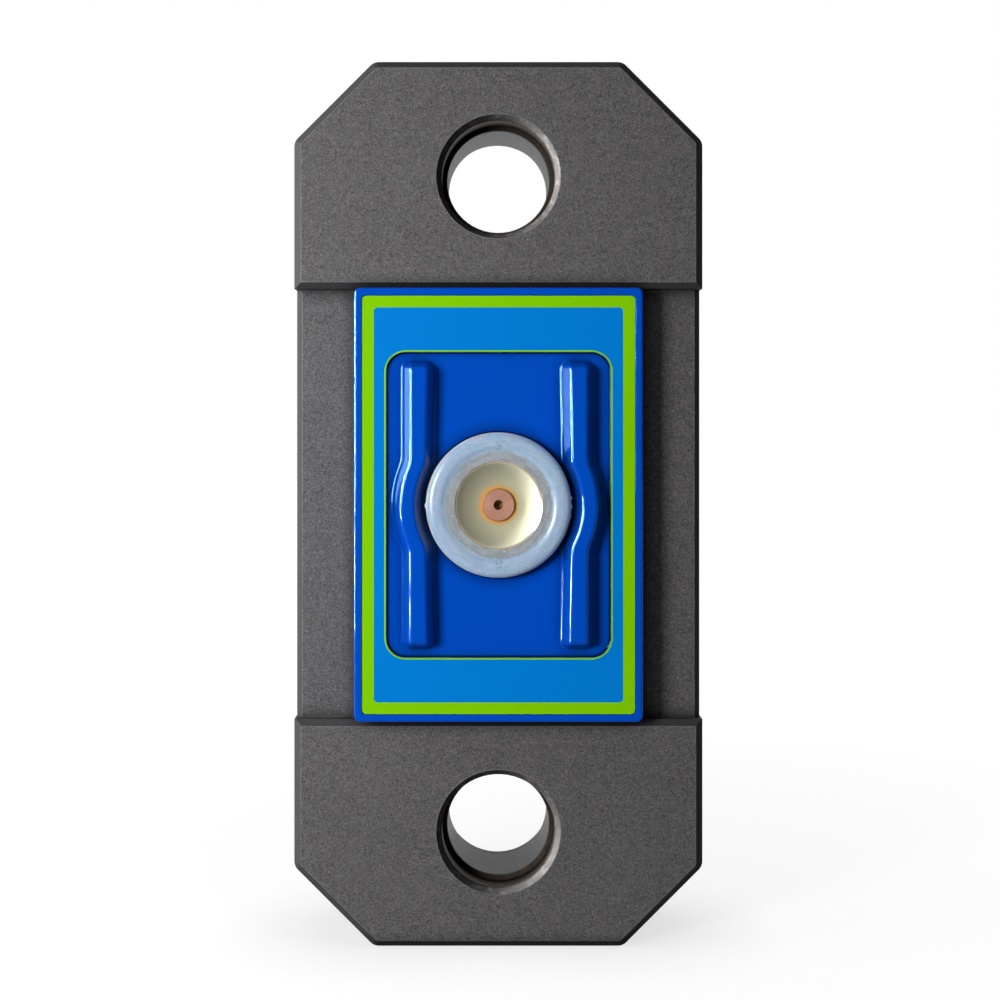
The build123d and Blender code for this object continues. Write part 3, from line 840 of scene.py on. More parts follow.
@dataclass(frozen=True)
class Capped(Finish):
    """A surface with bare metal ends along one axis, and one band; a pitch repeats it row by row."""

    axis: Axis = Axis.Z
    centre: Place = ORIGIN
    start: float = 0.01
    cap_colour: Colour = (0.62, 0.61, 0.59)
    pitch: float = 0.0
    band_start: float = 1.0
    band_end: float = 1.0
    band_colour: Colour = (0.5, 0.5, 0.5)

    def pattern(self, maker: NodeMaker, look: Look) -> None:
        """Puts the band on one end and bare metal on both.

        Args:
            maker: Adds to the material's tree.
            look: What goes to the shader, changed in place.
        """
        along = maker.axes(maker.offset(self.centre))[self.axis.value]
        if self.pitch:
            along = maker.math("PINGPONG", along, self.pitch / 2)
        past = maker.math("GREATER_THAN", along, self.band_start)
        short = maker.math("LESS_THAN", along, self.band_end)
        look.tint(maker, past, short, self.band_colour)
        cap = maker.math("GREATER_THAN", maker.size_of(along), self.start)
        look.colour = maker.mix(cap, look.colour, self.cap_colour)
        look.metal = cap


@dataclass(frozen=True)
class Circuit(Finish):
    """Green solder resist over a net of fine tracks, with gold-rimmed vias."""

    track: Colour = (0.035, 0.27, 0.11)
    gold: Colour = (0.72, 0.52, 0.22)
    tracks: float = 900.0

    def pattern(self, maker: NodeMaker, look: Look) -> None:
        """Draws tracks as the borders of square cells, and vias where small cells have their middle.

        Args:
            maker: Adds to the material's tree.
            look: What goes to the shader, changed in place.
        """
        place = maker.place()
        cells = {"Vector": place, "Scale": 330.0, "Randomness": 0.8}
        net = maker.add("ShaderNodeTexVoronoi", cells, feature="F1", distance="CHEBYCHEV").outputs["Color"]
        moved = maker.vector("ADD", maker.vector("MULTIPLY", place, (self.tracks,) * 3), net)
        steps = maker.vector("FRACTION", moved)
        x, _, z = maker.axes(steps)
        pick = maker.math("GREATER_THAN", maker.axes(net)[0], 0.5)
        run = maker.plus(maker.times(x, pick), maker.times(z, maker.minus(1.0, pick)))
        track = maker.ramp(maker.size_of(maker.minus(run, 0.5)), 0.14, 0.2, 1.0, 0.0)
        look.tint(maker, track, 0.8, self.track)
        look.lift(maker, track, 0.02)
        dots = {"Vector": place, "Scale": 240.0, "Randomness": 0.9}
        distance = maker.add("ShaderNodeTexVoronoi", dots).outputs["Distance"]
        via = maker.ramp(distance, 0.07, 0.08, 1.0, 0.0)
        look.colour = maker.mix(via, look.colour, self.gold)
        look.metal = via


@dataclass(frozen=True)
class Foam(Finish):
    """Open-celled soft foam."""

    def pattern(self, maker: NodeMaker, look: Look) -> None:
        """Sinks a small pit at each cell and paints shade into it.

        Args:
            maker: Adds to the material's tree.
            look: What goes to the shader, changed in place.
        """
        pits = {"Vector": maker.place(), "Scale": 1300.0}
        distance = maker.add("ShaderNodeTexVoronoi", pits).outputs["Distance"]
        look.lift(maker, distance, 0.25)
        # painted shade: darker colour at each pit's centre
        look.colour = maker.mix(maker.ramp(distance, 0.1, 0.5), lighter(self.colour, 0.3), look.colour)


class Repeats:
    """The geometry node trees that make what repeats or follows a path, each built once."""

    trees: dict[str, bpy.types.NodeTree] = {}

    @classmethod
    def make(cls, name: str, inputs: dict[str, str], fill: Callable) -> bpy.types.NodeTree:
        """Builds a tree that ends in Realize Instances and Set Material.

        Args:
            name: The tree's name.
            inputs: Each named input and its socket type, apart from the geometry and the material.
            fill: Given the maker and the inputs by name, returns the instances' geometry.

        Returns:
            The tree.
        """
        if name in cls.trees:
            return cls.trees[name]
        tree = bpy.data.node_groups.new(name, "GeometryNodeTree")
        sockets = {"Geometry": "NodeSocketGeometry", **inputs, "Material": "NodeSocketMaterial"}
        for key, kind in sockets.items():
            tree.interface.new_socket(name=key, in_out="INPUT", socket_type=kind)
        tree.interface.new_socket(name="Geometry", in_out="OUTPUT", socket_type="NodeSocketGeometry")
        maker = NodeMaker(tree)
        source = tree.nodes.new("NodeGroupInput")
        made = fill(maker, source.outputs)
        real = maker.add("GeometryNodeRealizeInstances", {"Geometry": made}).outputs[0]
        values = {"Geometry": real, "Material": source.outputs["Material"]}
        dressed = maker.add("GeometryNodeSetMaterial", values)
        sink = tree.nodes.new("NodeGroupOutput")
        maker.feed(sink.inputs["Geometry"], dressed.outputs[0])
        cls.trees[name] = tree
        return tree

    @classmethod
    def corners(cls) -> bpy.types.NodeTree:
        """The piece on a grid that faces the front, Columns by Rows over Width and Height about Centre.

        Returns:
            The tree.
        """

        def fill(maker: NodeMaker, given: dict) -> Socket:
            """Puts the piece on a grid's points.

            Args:
                maker: Adds to the tree.
                given: The tree's inputs by name.

            Returns:
                The geometry, before it is dressed.
            """
            sizes = {"Size X": given["Width"], "Size Y": given["Height"]}
            counts = {"Vertices X": given["Columns"], "Vertices Y": given["Rows"]}
            grid = maker.add("GeometryNodeMeshGrid", {**sizes, **counts}).outputs["Mesh"]
            upright = {"Geometry": grid, "Rotation": (math.pi / 2, 0.0, 0.0), "Translation": given["Centre"]}
            places = maker.add("GeometryNodeTransform", upright).outputs[0]
            values = {"Points": places, "Instance": given["Geometry"]}
            return maker.add("GeometryNodeInstanceOnPoints", values).outputs[0]

        inputs = {
            "Width": "NodeSocketFloat", "Height": "NodeSocketFloat", "Columns": "NodeSocketInt",
            "Rows": "NodeSocketInt", "Centre": "NodeSocketVector",
        }
        return cls.make("corners", inputs, fill)

    @classmethod
    def spokes(cls) -> bpy.types.NodeTree:
        """The piece Count times about an axis along Y, at Radius, turned outwards.

        Returns:
            The tree.
        """

        def fill(maker: NodeMaker, given: dict) -> Socket:
            """Puts the piece on a circle's points and turns each one.

            Args:
                maker: Adds to the tree.
                given: The tree's inputs by name.

            Returns:
                The geometry, before it is dressed.
            """
            circle = {"Vertices": given["Count"], "Radius": given["Radius"]}
            points = maker.add("GeometryNodeMeshCircle", circle).outputs[0]
            index = maker.add("GeometryNodeInputIndex").outputs[0]
            step = maker.math("DIVIDE", 2 * math.pi, given["Count"])
            turn = maker.add("ShaderNodeCombineXYZ", {2: maker.times(index, step)}).outputs[0]
            values = {"Points": points, "Instance": given["Geometry"], "Rotation": turn}
            ring = maker.add("GeometryNodeInstanceOnPoints", values).outputs[0]
            upright = {"Geometry": ring, "Rotation": (math.pi / 2, 0.0, 0.0), "Translation": given["Centre"]}
            return maker.add("GeometryNodeTransform", upright).outputs[0]

        inputs = {"Count": "NodeSocketInt", "Radius": "NodeSocketFloat", "Centre": "NodeSocketVector"}
        return cls.make("spokes", inputs, fill)

    @classmethod
    def coil(cls) -> bpy.types.NodeTree:
        """A coil spring along Y from Start, whose end turns lie closer, by Closing from 0 to 1.

        Returns:
            The tree.
        """

        def fill(maker: NodeMaker, given: dict) -> Socket:
            """Draws the helix, closes its ends and gives it its wire.

            Args:
                maker: Adds to the tree.
                given: The tree's inputs by name.

            Returns:
                The geometry, before it is dressed.
            """
            values = {
                "Resolution": 40, "Rotations": given["Turns"], "Start Radius": given["Radius"],
                "End Radius": given["Radius"], "Height": given["Height"],
            }
            helix = maker.add("GeometryNodeCurveSpiral", values).outputs[0]
            share = maker.add("GeometryNodeSplineParameter").outputs["Factor"]
            swing = maker.math("SINE", maker.times(share, 2 * math.pi))
            size = maker.times(maker.times(given["Height"], given["Closing"]), -1 / (2 * math.pi))
            shift = maker.add("ShaderNodeCombineXYZ", {2: maker.times(swing, size)}).outputs[0]
            closed = maker.add("GeometryNodeSetPosition", {"Geometry": helix, "Offset": shift}).outputs[0]
            section = {"Resolution": 14, "Radius": given["Wire"]}
            wire = maker.add("GeometryNodeCurvePrimitiveCircle", section).outputs[0]
            tube = {"Curve": closed, "Profile Curve": wire, "Fill Caps": True}
            body = maker.add("GeometryNodeCurveToMesh", tube).outputs[0]
            upright = {"Geometry": body, "Rotation": (-math.pi / 2, 0.0, 0.0), "Translation": given["Start"]}
            return maker.add("GeometryNodeTransform", upright).outputs[0]

        inputs = {
            "Turns": "NodeSocketFloat", "Radius": "NodeSocketFloat", "Height": "NodeSocketFloat",
            "Wire": "NodeSocketFloat", "Closing": "NodeSocketFloat", "Start": "NodeSocketVector",
        }
        return cls.make("coil", inputs, fill)


def repeat(piece: bpy.types.Object, tree: bpy.types.NodeTree, finish: Finish, **values: Value) -> None:
    """Runs a geometry node tree on a piece and keeps the result as its plain mesh.

    Args:
        piece: The piece whose mesh the tree starts from.
        tree: The tree.
        finish: What the result is dressed in.
        values: The tree's inputs, by their names in lower case.
    """
    modifier = piece.modifiers.new(tree.name, "NODES")
    modifier.node_group = tree
    named = {key.capitalize(): value for key, value in values.items()}
    named["Material"] = finish.material()
    for socket in tree.interface.items_tree:
        if socket.in_out == "INPUT" and socket.name in named:
            modifier[socket.identifier] = named[socket.name]
    settle(piece)


def settle(piece: bpy.types.Object) -> None:
    """Turns what the modifiers give into the piece's own plain mesh.

    Args:
        piece: The piece, which loses its modifiers.
    """
    view = bpy.context.evaluated_depsgraph_get()
    view.update()
    mesh = bpy.data.meshes.new_from_object(piece.evaluated_get(view), depsgraph=view)
    piece.modifiers.clear()
    piece.data = mesh


def link(name: str, mesh: bpy.types.Mesh) -> bpy.types.Object:
    """Puts a mesh into the scene as a piece.

    Args:
        name: The piece's name.
        mesh: Its mesh.

    Returns:
        The new piece.
    """
    piece = bpy.data.objects.new(name, mesh)
    bpy.context.scene.collection.objects.link(piece)
    return piece


def new_piece(name: str, points: list, faces: list, sharp: float = 30.0) -> bpy.types.Object:
    """A piece from points and faces, smooth where it turns by less than sharp degrees.

    Args:
        name: The piece's name.
        points: Its corners, in metres.
        faces: Each face, as indices of its corners.
        sharp: Corners that turn by more degrees than this stay crisp.

    Returns:
        The new piece.
    """
    mesh = bpy.data.meshes.new(name)
    mesh.from_pydata(points, [], faces)
    work = bmesh.new()
    work.from_mesh(mesh)
    bmesh.ops.remove_doubles(work, verts=work.verts, dist=1e-7)
    bmesh.ops.recalc_face_normals(work, faces=work.faces)
    work.to_mesh(mesh)
    work.free()
    mesh.shade_smooth()
    mesh.set_sharp_from_angle(angle=math.radians(sharp))
    return link(name, mesh)


@dataclass(frozen=True)
class Ring:
    """One ring of a turned piece: how far out and how deep it lies, and its sides if it isn't round."""

    radius: float
    depth: float
    sides: int = 0

    def reach(self, turn: float) -> float:
        """How far out the ring lies at an angle.

        Args:
            turn: The angle about the axis, in radians.

        Returns:
            The distance from the axis, in metres.
        """
        if not self.sides:
            return self.radius
        wedge = 2 * math.pi / self.sides
        return self.radius / math.cos(turn % wedge - wedge / 2)


def turned(
    name: str, rings: list, centre: Vector, around: int = 96, closed: bool = False, sharp: float = 30.0,
    shape: Optional[Callable] = None,
) -> bpy.types.Object:
    """Skins rings about an axis along Y.

    Args:
        name: The piece's name.
        rings: The rings in order along the skin.
        centre: A point on the axis, whose Y is added to the rings' depths.
        around: How many steps go round.
        closed: Whether the last ring joins the first, or else both ends are capped.
        sharp: Corners that turn by more degrees than this stay crisp.
        shape: Given the radius, depth and angle, returns what is added to the radius.

    Returns:
        The new piece.
    """
    points, faces = [], []
    for ring in rings:
        for step in range(around):
            turn = 2 * math.pi * step / around
            radius = ring.reach(turn)
            if shape:
                radius += shape(radius, ring.depth, turn)
            x, z = centre.x + radius * math.cos(turn), centre.z + radius * math.sin(turn)
            points.append((x, centre.y + ring.depth, z))
    for index in range(len(rings) if closed else len(rings) - 1):
        here, there = index * around, (index + 1) % len(rings) * around
        for step in range(around):
            after = (step + 1) % around
            faces.append((here + step, here + after, there + after, there + step))
    if not closed:
        faces.append(tuple(range(around)))
        faces.append(tuple(range((len(rings) - 1) * around, len(rings) * around)))
    return new_piece(name, points, faces, sharp)


def box_piece(name: str, size: tuple, centre: Place = ORIGIN, rounding: float = 0.0) -> bpy.types.Object:
    """A block with rounded edges.

    Args:
        name: The piece's name.
        size: Its width, depth and height.
        centre: Its middle.
        rounding: The radius of its edges.

    Returns:
        The new piece.
    """
    mesh = bpy.data.meshes.new(name)
    work = bmesh.new()
    bmesh.ops.create_cube(work, size=1.0)
    for vertex in work.verts:
        vertex.co = Vector(part * side + middle for part, side, middle in zip(vertex.co, size, centre))
    if rounding:
        bmesh.ops.bevel(work, geom=work.edges, offset=rounding, segments=2, affect="EDGES", profile=0.5)
    work.to_mesh(mesh)
    work.free()
    mesh.shade_smooth()
    mesh.set_sharp_from_angle(angle=math.radians(50))
    return link(name, mesh)


def dress(piece: bpy.types.Object, finish: Finish, body: Body, *nodes: str) -> bpy.types.Object:
    """Gives a piece its finish and its body, and hides the CAD nodes it stands for.

    Args:
        piece: The piece, with its final mesh.
        finish: Its finish.
        body: The body it moves with.
        nodes: The CAD nodes it replaces.

    Returns:
        The same piece.
    """
    piece.data.materials.clear()
    piece.data.materials.append(finish.material())
    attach(piece, body.value)
    if nodes:
        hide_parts(*nodes)
    log.info("%s: %d faces, %s", piece.name, len(piece.data.polygons), finish.name)
    return piece


def dress_node(node: str, finish: Finish) -> None:
    """Gives a CAD node that stays a better material.

    Args:
        node: The CAD node's name.
        finish: What it is dressed in.
    """
    piece = frame["nodes"][node]
    for slot in piece.material_slots:
        slot.link = "OBJECT"
        slot.material = finish.material()
    log.info("%s: %s", node, finish.name)


def centre_of(node: str) -> Vector:
    """The middle of a CAD node's box."""
    low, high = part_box(node)
    return (low + high) / 2


@dataclass
class Studio:
    """The pale floor, the soft light and the camera."""

    camera_place: Place = (-0.0031, -0.3875, 0.1278)
    lens: float = 53.28
    shift: tuple[float, float] = (0.014, -0.063)
    key_place: Place = (-0.29, -0.38, 0.165)
    key_size: tuple[float, float] = (0.14, 0.14)
    key_power: float = 2.45
    side_place: Place = (-0.60, -0.10, 0.20)
    side_size: tuple[float, float] = (0.25, 0.5)
    side_power: float = 1.0
    strips: tuple = (
        ((-0.56, -0.09, 0.22), (0.05, 0.44), 24.0),
        ((-0.44, -0.36, 0.26), (0.03, 0.30), 0.9),
        ((-0.50, 0.31, 0.20), (0.12, 0.50), 0.35),
    )
    fill_place: Place = (0.40, -0.42, 0.16)
    fill_size: tuple[float, float] = (0.3, 0.4)
    fill_power: float = 0.3
    sky: float = 0.13
    back_sky: float = 0.35
    floor_glow: float = 0.875
    contact: float = 0.82
    mirror_share: float = 0.2

    def build(self) -> None:
        """Sets the camera, the lamps, the world and the floor."""
        self.camera()
        self.lamp("key", self.key_place, self.key_size, self.key_power)
        self.lamp("side", self.side_place, self.side_size, self.side_power)
        self.lamp("fill", self.fill_place, self.fill_size, self.fill_power).visible_glossy = False
        for index, (place, size, power) in enumerate(self.strips):
            strip = self.lamp(f"strip_{index}", place, size, power)
            strip.visible_diffuse = strip.visible_camera = False
        self.world()
        self.floor()
        log.info("studio: camera, lamps, strips, floor")

    def camera(self) -> None:
        """The camera, level and square to the front."""
        data = bpy.data.cameras.new("camera")
        data.lens = self.lens
        data.sensor_width = 36.0
        data.shift_x, data.shift_y = self.shift
        data.clip_start = 0.01
        camera = bpy.data.objects.new("camera", data)
        camera.location = self.camera_place
        camera.rotation_euler = (math.pi / 2, 0.0, 0.0)
        bpy.context.scene.collection.objects.link(camera)
        bpy.context.scene.camera = camera
        bpy.context.scene.view_settings.view_transform = "Standard"

    def lamp(self, name: str, place: tuple, size: tuple, power: float) -> bpy.types.Object:
        """A soft lamp aimed at the middle of the part.

        Args:
            name: The lamp's name.
            place: Where it stands.
            size: Its width and height.
            power: Its power in watts.

        Returns:
            The lamp.
        """
        data = bpy.data.lights.new(name, "AREA")
        data.shape = "RECTANGLE"
        data.size, data.size_y = size
        data.energy = power
        lamp = bpy.data.objects.new(name, data)
        lamp.location = place
        low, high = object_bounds()
        aim = (Vector(low) + Vector(high)) / 2 - Vector(place)
        lamp.rotation_euler = aim.to_track_quat("-Z", "Y").to_euler()
        bpy.context.scene.collection.objects.link(lamp)
        return lamp

    def world(self) -> None:
        """White where it is seen, mirrored from behind or seen through, and dim as a light."""
        world = bpy.data.worlds.new("studio")
        bpy.context.scene.world = world
        world.use_nodes = True
        maker = NodeMaker(world.node_tree)
        maker.tree.nodes.clear()
        path = maker.add("ShaderNodeLightPath").outputs
        behind = maker.axes(maker.add("ShaderNodeTexCoord").outputs["Generated"])[1]
        back = maker.ramp(behind, 0.78, 0.93)
        mirrored = maker.times(path["Is Glossy Ray"], back)
        seen = maker.math("MAXIMUM", path["Is Camera Ray"], path["Is Transmission Ray"])
        soft = maker.ramp(behind, -0.1, 0.7, self.sky, self.back_sky)
        soft = maker.times(soft, maker.ramp(path["Is Glossy Ray"], 0.0, 1.0, 1.0, self.mirror_share))
        light = maker.math("MAXIMUM", maker.math("MAXIMUM", seen, mirrored), soft)
        shade = maker.add("ShaderNodeBackground", {"Color": (1.0, 1.0, 1.0, 1.0), "Strength": light})
        sink = maker.add("ShaderNodeOutputWorld")
        maker.feed(sink.inputs["Surface"], shade.outputs[0])

    def floor(self) -> None:
        """A wide pale floor that keeps the part's shadow, with a painted contact shadow in its glow near the
        part.
        """
        half = 4.0
        corners = [(-half, -half, 0.0), (half, -half, 0.0), (half, half, 0.0), (-half, half, 0.0)]
        mesh = bpy.data.meshes.new("floor")
        mesh.from_pydata(corners, [], [(0, 1, 2, 3)])
        floor = bpy.data.objects.new("floor", mesh)
        bpy.context.scene.collection.objects.link(floor)
        material = bpy.data.materials.new("pale_floor")
        material.use_nodes = True
        maker = NodeMaker(material.node_tree)
        maker.tree.nodes.clear()
        path = maker.add("ShaderNodeLightPath").outputs
        seen = maker.math("MAXIMUM", path["Is Camera Ray"], path["Is Transmission Ray"])
        point = maker.add("ShaderNodeNewGeometry").outputs["Position"]
        front = maker.ramp(maker.axes(point)[1], -0.06, 0.02, 1.0, 0.0)
        mirrored = maker.times(path["Is Glossy Ray"], maker.minus(1.0, front))
        seen = maker.math("MAXIMUM", seen, mirrored)
        # painted contact shadow: the floor's glow dims where the part shelters it
        shelter = maker.add("ShaderNodeAmbientOcclusion", {"Distance": 0.03}, samples=8).outputs["AO"]
        open_sky = maker.ramp(shelter, 0.4, 1.0, self.contact, 1.0)
        away = maker.ramp(maker.vector("LENGTH", point), 0.05, 0.4, self.floor_glow, 1.0)
        glow = maker.times(maker.times(seen, away), open_sky)
        dim = maker.times(path["Is Glossy Ray"], front)
        paint = maker.mix(dim, (0.18, 0.18, 0.18), (0.05, 0.05, 0.05))
        matte = maker.add("ShaderNodeBsdfDiffuse", {"Color": paint}).outputs[0]
        light = maker.add("ShaderNodeEmission", {"Color": (1.0, 1.0, 1.0, 1.0), "Strength": glow}).outputs[0]
        both = maker.add("ShaderNodeAddShader", {0: matte, 1: light}).outputs[0]
        sink = maker.add("ShaderNodeOutputMaterial")
        maker.feed(sink.inputs["Surface"], both)
        mesh.materials.append(material)
        floor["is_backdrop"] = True


@dataclass
class LoadBar:
    """The machined bar between the two pins."""

    edge_round: float = 0.0005

    def build(self) -> None:
        """Gives the bar its hard coat."""
        mounts = frame["record"]["mounts"]
        bores = tuple(tuple(mount["pos_m"]) for mount in mounts if mount["kind"] == "bore")
        finish = HardCoat(
            "hard_coat", "bar", (0.098, 0.094, 0.096), 0.46, fineness=2400.0, mottle=0.9, bump=0.05,
            edge=1.0, edge_width=0.0005, edge_lift=0.16, edge_round=self.edge_round, painted_shade=0.95,
            painted_shade_reach=0.0045, specular=0.12, bores=bores,
        )
        dress_node("load_body", finish)


@dataclass
class Housing:
    """The moulded front housing, its printed overlay and the rear cover."""

    edge_round: float = 0.00025
    blue: Colour = (0.0005, 0.066, 0.48)
    print_blue: Colour = (0.0003, 0.18, 0.58)
    gleam: Colour = (0.32, 0.80, 1.0)

    def build(self) -> None:
        """Dresses the three blue pieces."""
        low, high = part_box("label_overlay")
        plain = Finish(
            "gloss_blue", "housing", self.blue, 0.08, fineness=1400.0, mottle=0.05, bump=0.002, scuff=0.03,
            edge=0.15, edge_width=0.0002, edge_round=self.edge_round, painted_shade=0.8, painted_shade_reach=0.004,
            specular=0.5, gleam=self.gleam,
        )
        front = Moulded(**{**asdict(plain), "name": "gloss_blue_front", "centre": tuple((low + high) / 2)})
        dress_node("rear_cover", plain)
        dress_node("front_housing", front)
        film = PrintedFilm(
            "printed_film", "overlay", self.print_blue, 0.3, fineness=2200.0, mottle=0.05, bump=0.003,
            scuff=0.04, edge=0.0, specular=0.03, centre=tuple((low + high) / 2),
            half=((high.x - low.x) / 2, (high.z - low.z) / 2),
        )
        dress_node("label_overlay", film)


@dataclass
class PushButton:
    """The soft ring with its moulding nibs, the dished core and the turned plunger."""

    crown: float = 0.00295
    fullness: float = 0.64
    wall: float = 0.0017
    land_radius: float = 0.0136
    hole_radius: float = 0.01065
    nib_height: float = 0.0004
    nib_depth: float = -0.02253
    nib_turns: tuple[float, ...] = (3.15, 0.10, -0.02, -0.15)

    def ring_sections(self) -> list:
        """The soft ring's section: crown, land, hole, underside and skirt.

        Returns:
            The rings in order along the skin.
        """
        low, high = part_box("button_cap")
        rim = (high.x - low.x) / 2
        centre = low.y + self.crown
        crest = rim - self.crown
        rings = [Ring(rim, high.y), Ring(rim, (high.y + centre) / 2)]
        end = math.acos((self.land_radius - crest) / self.crown)
        for step in range(29):
            turn = end * step / 28
            across, rise = math.cos(turn), math.sin(turn)
            if across > 0.0:
                across, rise = across ** self.fullness, rise ** self.fullness
            rings.append(Ring(crest + self.crown * across, centre - self.crown * rise))
        land = rings[-1].depth
        hole = self.hole_radius
        soft = 0.00015
        under, inner = land + self.wall, rim - self.wall
        rings += [Ring(hole + 0.002, land), Ring(hole + soft, land)]
        rings += [Ring(hole, land + soft), Ring(hole, under)]
        return rings + [Ring(self.land_radius, under), Ring(inner, centre), Ring(inner, high.y)]

    def nibs(self, radius: float, depth: float, turn: float) -> float:
        """The small moulding nibs on the ring's side, by how far they stand out at a point.

        Args:
            radius: How far the point lies from the axis.
            depth: Where it lies along the axis.
            turn: Its angle about the axis, in radians.

        Returns:
            What is added to the radius there.
        """
        if radius < self.land_radius + self.crown:
            return 0.0
        level = math.exp(-(((depth - self.nib_depth) / 0.0004) ** 2))
        total = 0.0
        for place, width in zip(self.nib_turns, (0.03, 0.015, 0.02, 0.015)):
            gap = math.remainder(turn - place, 2 * math.pi)
            total += math.exp(-((gap / width) ** 2))
        return self.nib_height * level * min(1.0, total)

    def build(self) -> None:
        """Builds the ring and dresses the button's pieces."""
        axis = centre_of("button_plunger")
        spot = tuple(axis)
        ring = SoftRing(
            "milky_silicone", "button_ring", (0.30, 0.42, 0.57), 0.2, fineness=900.0, mottle=0.3, bump=0.006,
            scuff=0.12, edge=0.0, subsurface=0.35, subsurface_size=0.003, specular=0.4, centre=spot,
        )
        core = DishGlow(
            "cream_core", "button_core", (0.42, 0.42, 0.31), 0.64, metallic=0.45, fineness=700.0, mottle=0.1,
            bump=0.006, edge=0.0, specular=0.5, centre=spot,
        )
        copper = TurnedMetal(
            "copper", "plunger", (0.55, 0.275, 0.19), 0.34, metallic=0.3, fineness=1500.0, mottle=0.5,
            bump=0.02,
            edge=0.3, bore=0.0013, rim=0.0038, centres=(spot,),
        )
        centre = Vector((axis.x, 0.0, axis.z))
        piece = turned(
            "soft_ring", self.ring_sections(), centre, around=192, closed=True, sharp=35.0, shape=self.nibs,
        )
        dress(piece, ring, Body.BUTTON, "button_cap")
        dress_node("button_dish", core)
        dress_node("button_plunger", copper)


@dataclass
class ButtonWorks:
    """The spring, seal, clip and pill behind the button."""

    turns: float = 3.0
    radius: float = 0.0038
    closing: float = 0.35

    def build(self) -> None:
        """Winds the spring and dresses the small parts."""
        low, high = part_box("return_spring")
        wire = (high.x - low.x) / 2 - self.radius
        steel = Finish(
            "spring_steel", "steel", (0.56, 0.56, 0.57), 0.26, metallic=1.0, fineness=1800.0, mottle=0.3,
            edge=0.0,
        )
        piece = link("coil_spring", bpy.data.meshes.new("coil_spring"))
        start = (0.0, low.y + wire, centre_of("return_spring").z)
        repeat(
            piece, Repeats.coil(), steel, turns=self.turns, radius=self.radius,
            height=high.y - low.y - 2 * wire,
            wire=wire, closing=self.closing, start=start,
        )
        piece.data.shade_smooth()
        dress(piece, steel, Body.CELL, "return_spring")
        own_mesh(piece)
        rubber = Finish(
            "nitrile", "gasket", (0.025, 0.025, 0.026), 0.5, fineness=1600.0, mottle=0.3, bump=0.02, edge=0.1,
        )
        dress_node("plunger_seal", rubber)
        dress_node("plunger_clip", steel)
        pill = Finish(
            "carbon_rubber", "pill", (0.015, 0.015, 0.016), 0.65, fineness=2600.0, mottle=0.4, bump=0.03,
            edge=0.1,
        )
        dress_node("contact_pill", pill)


@dataclass(frozen=True)
class ScrewSize:
    """A screw's radii at head and shank, its head's height, half its socket's width and its pitch."""

    head: float
    shank: float
    head_height: float
    socket: float
    pitch: float


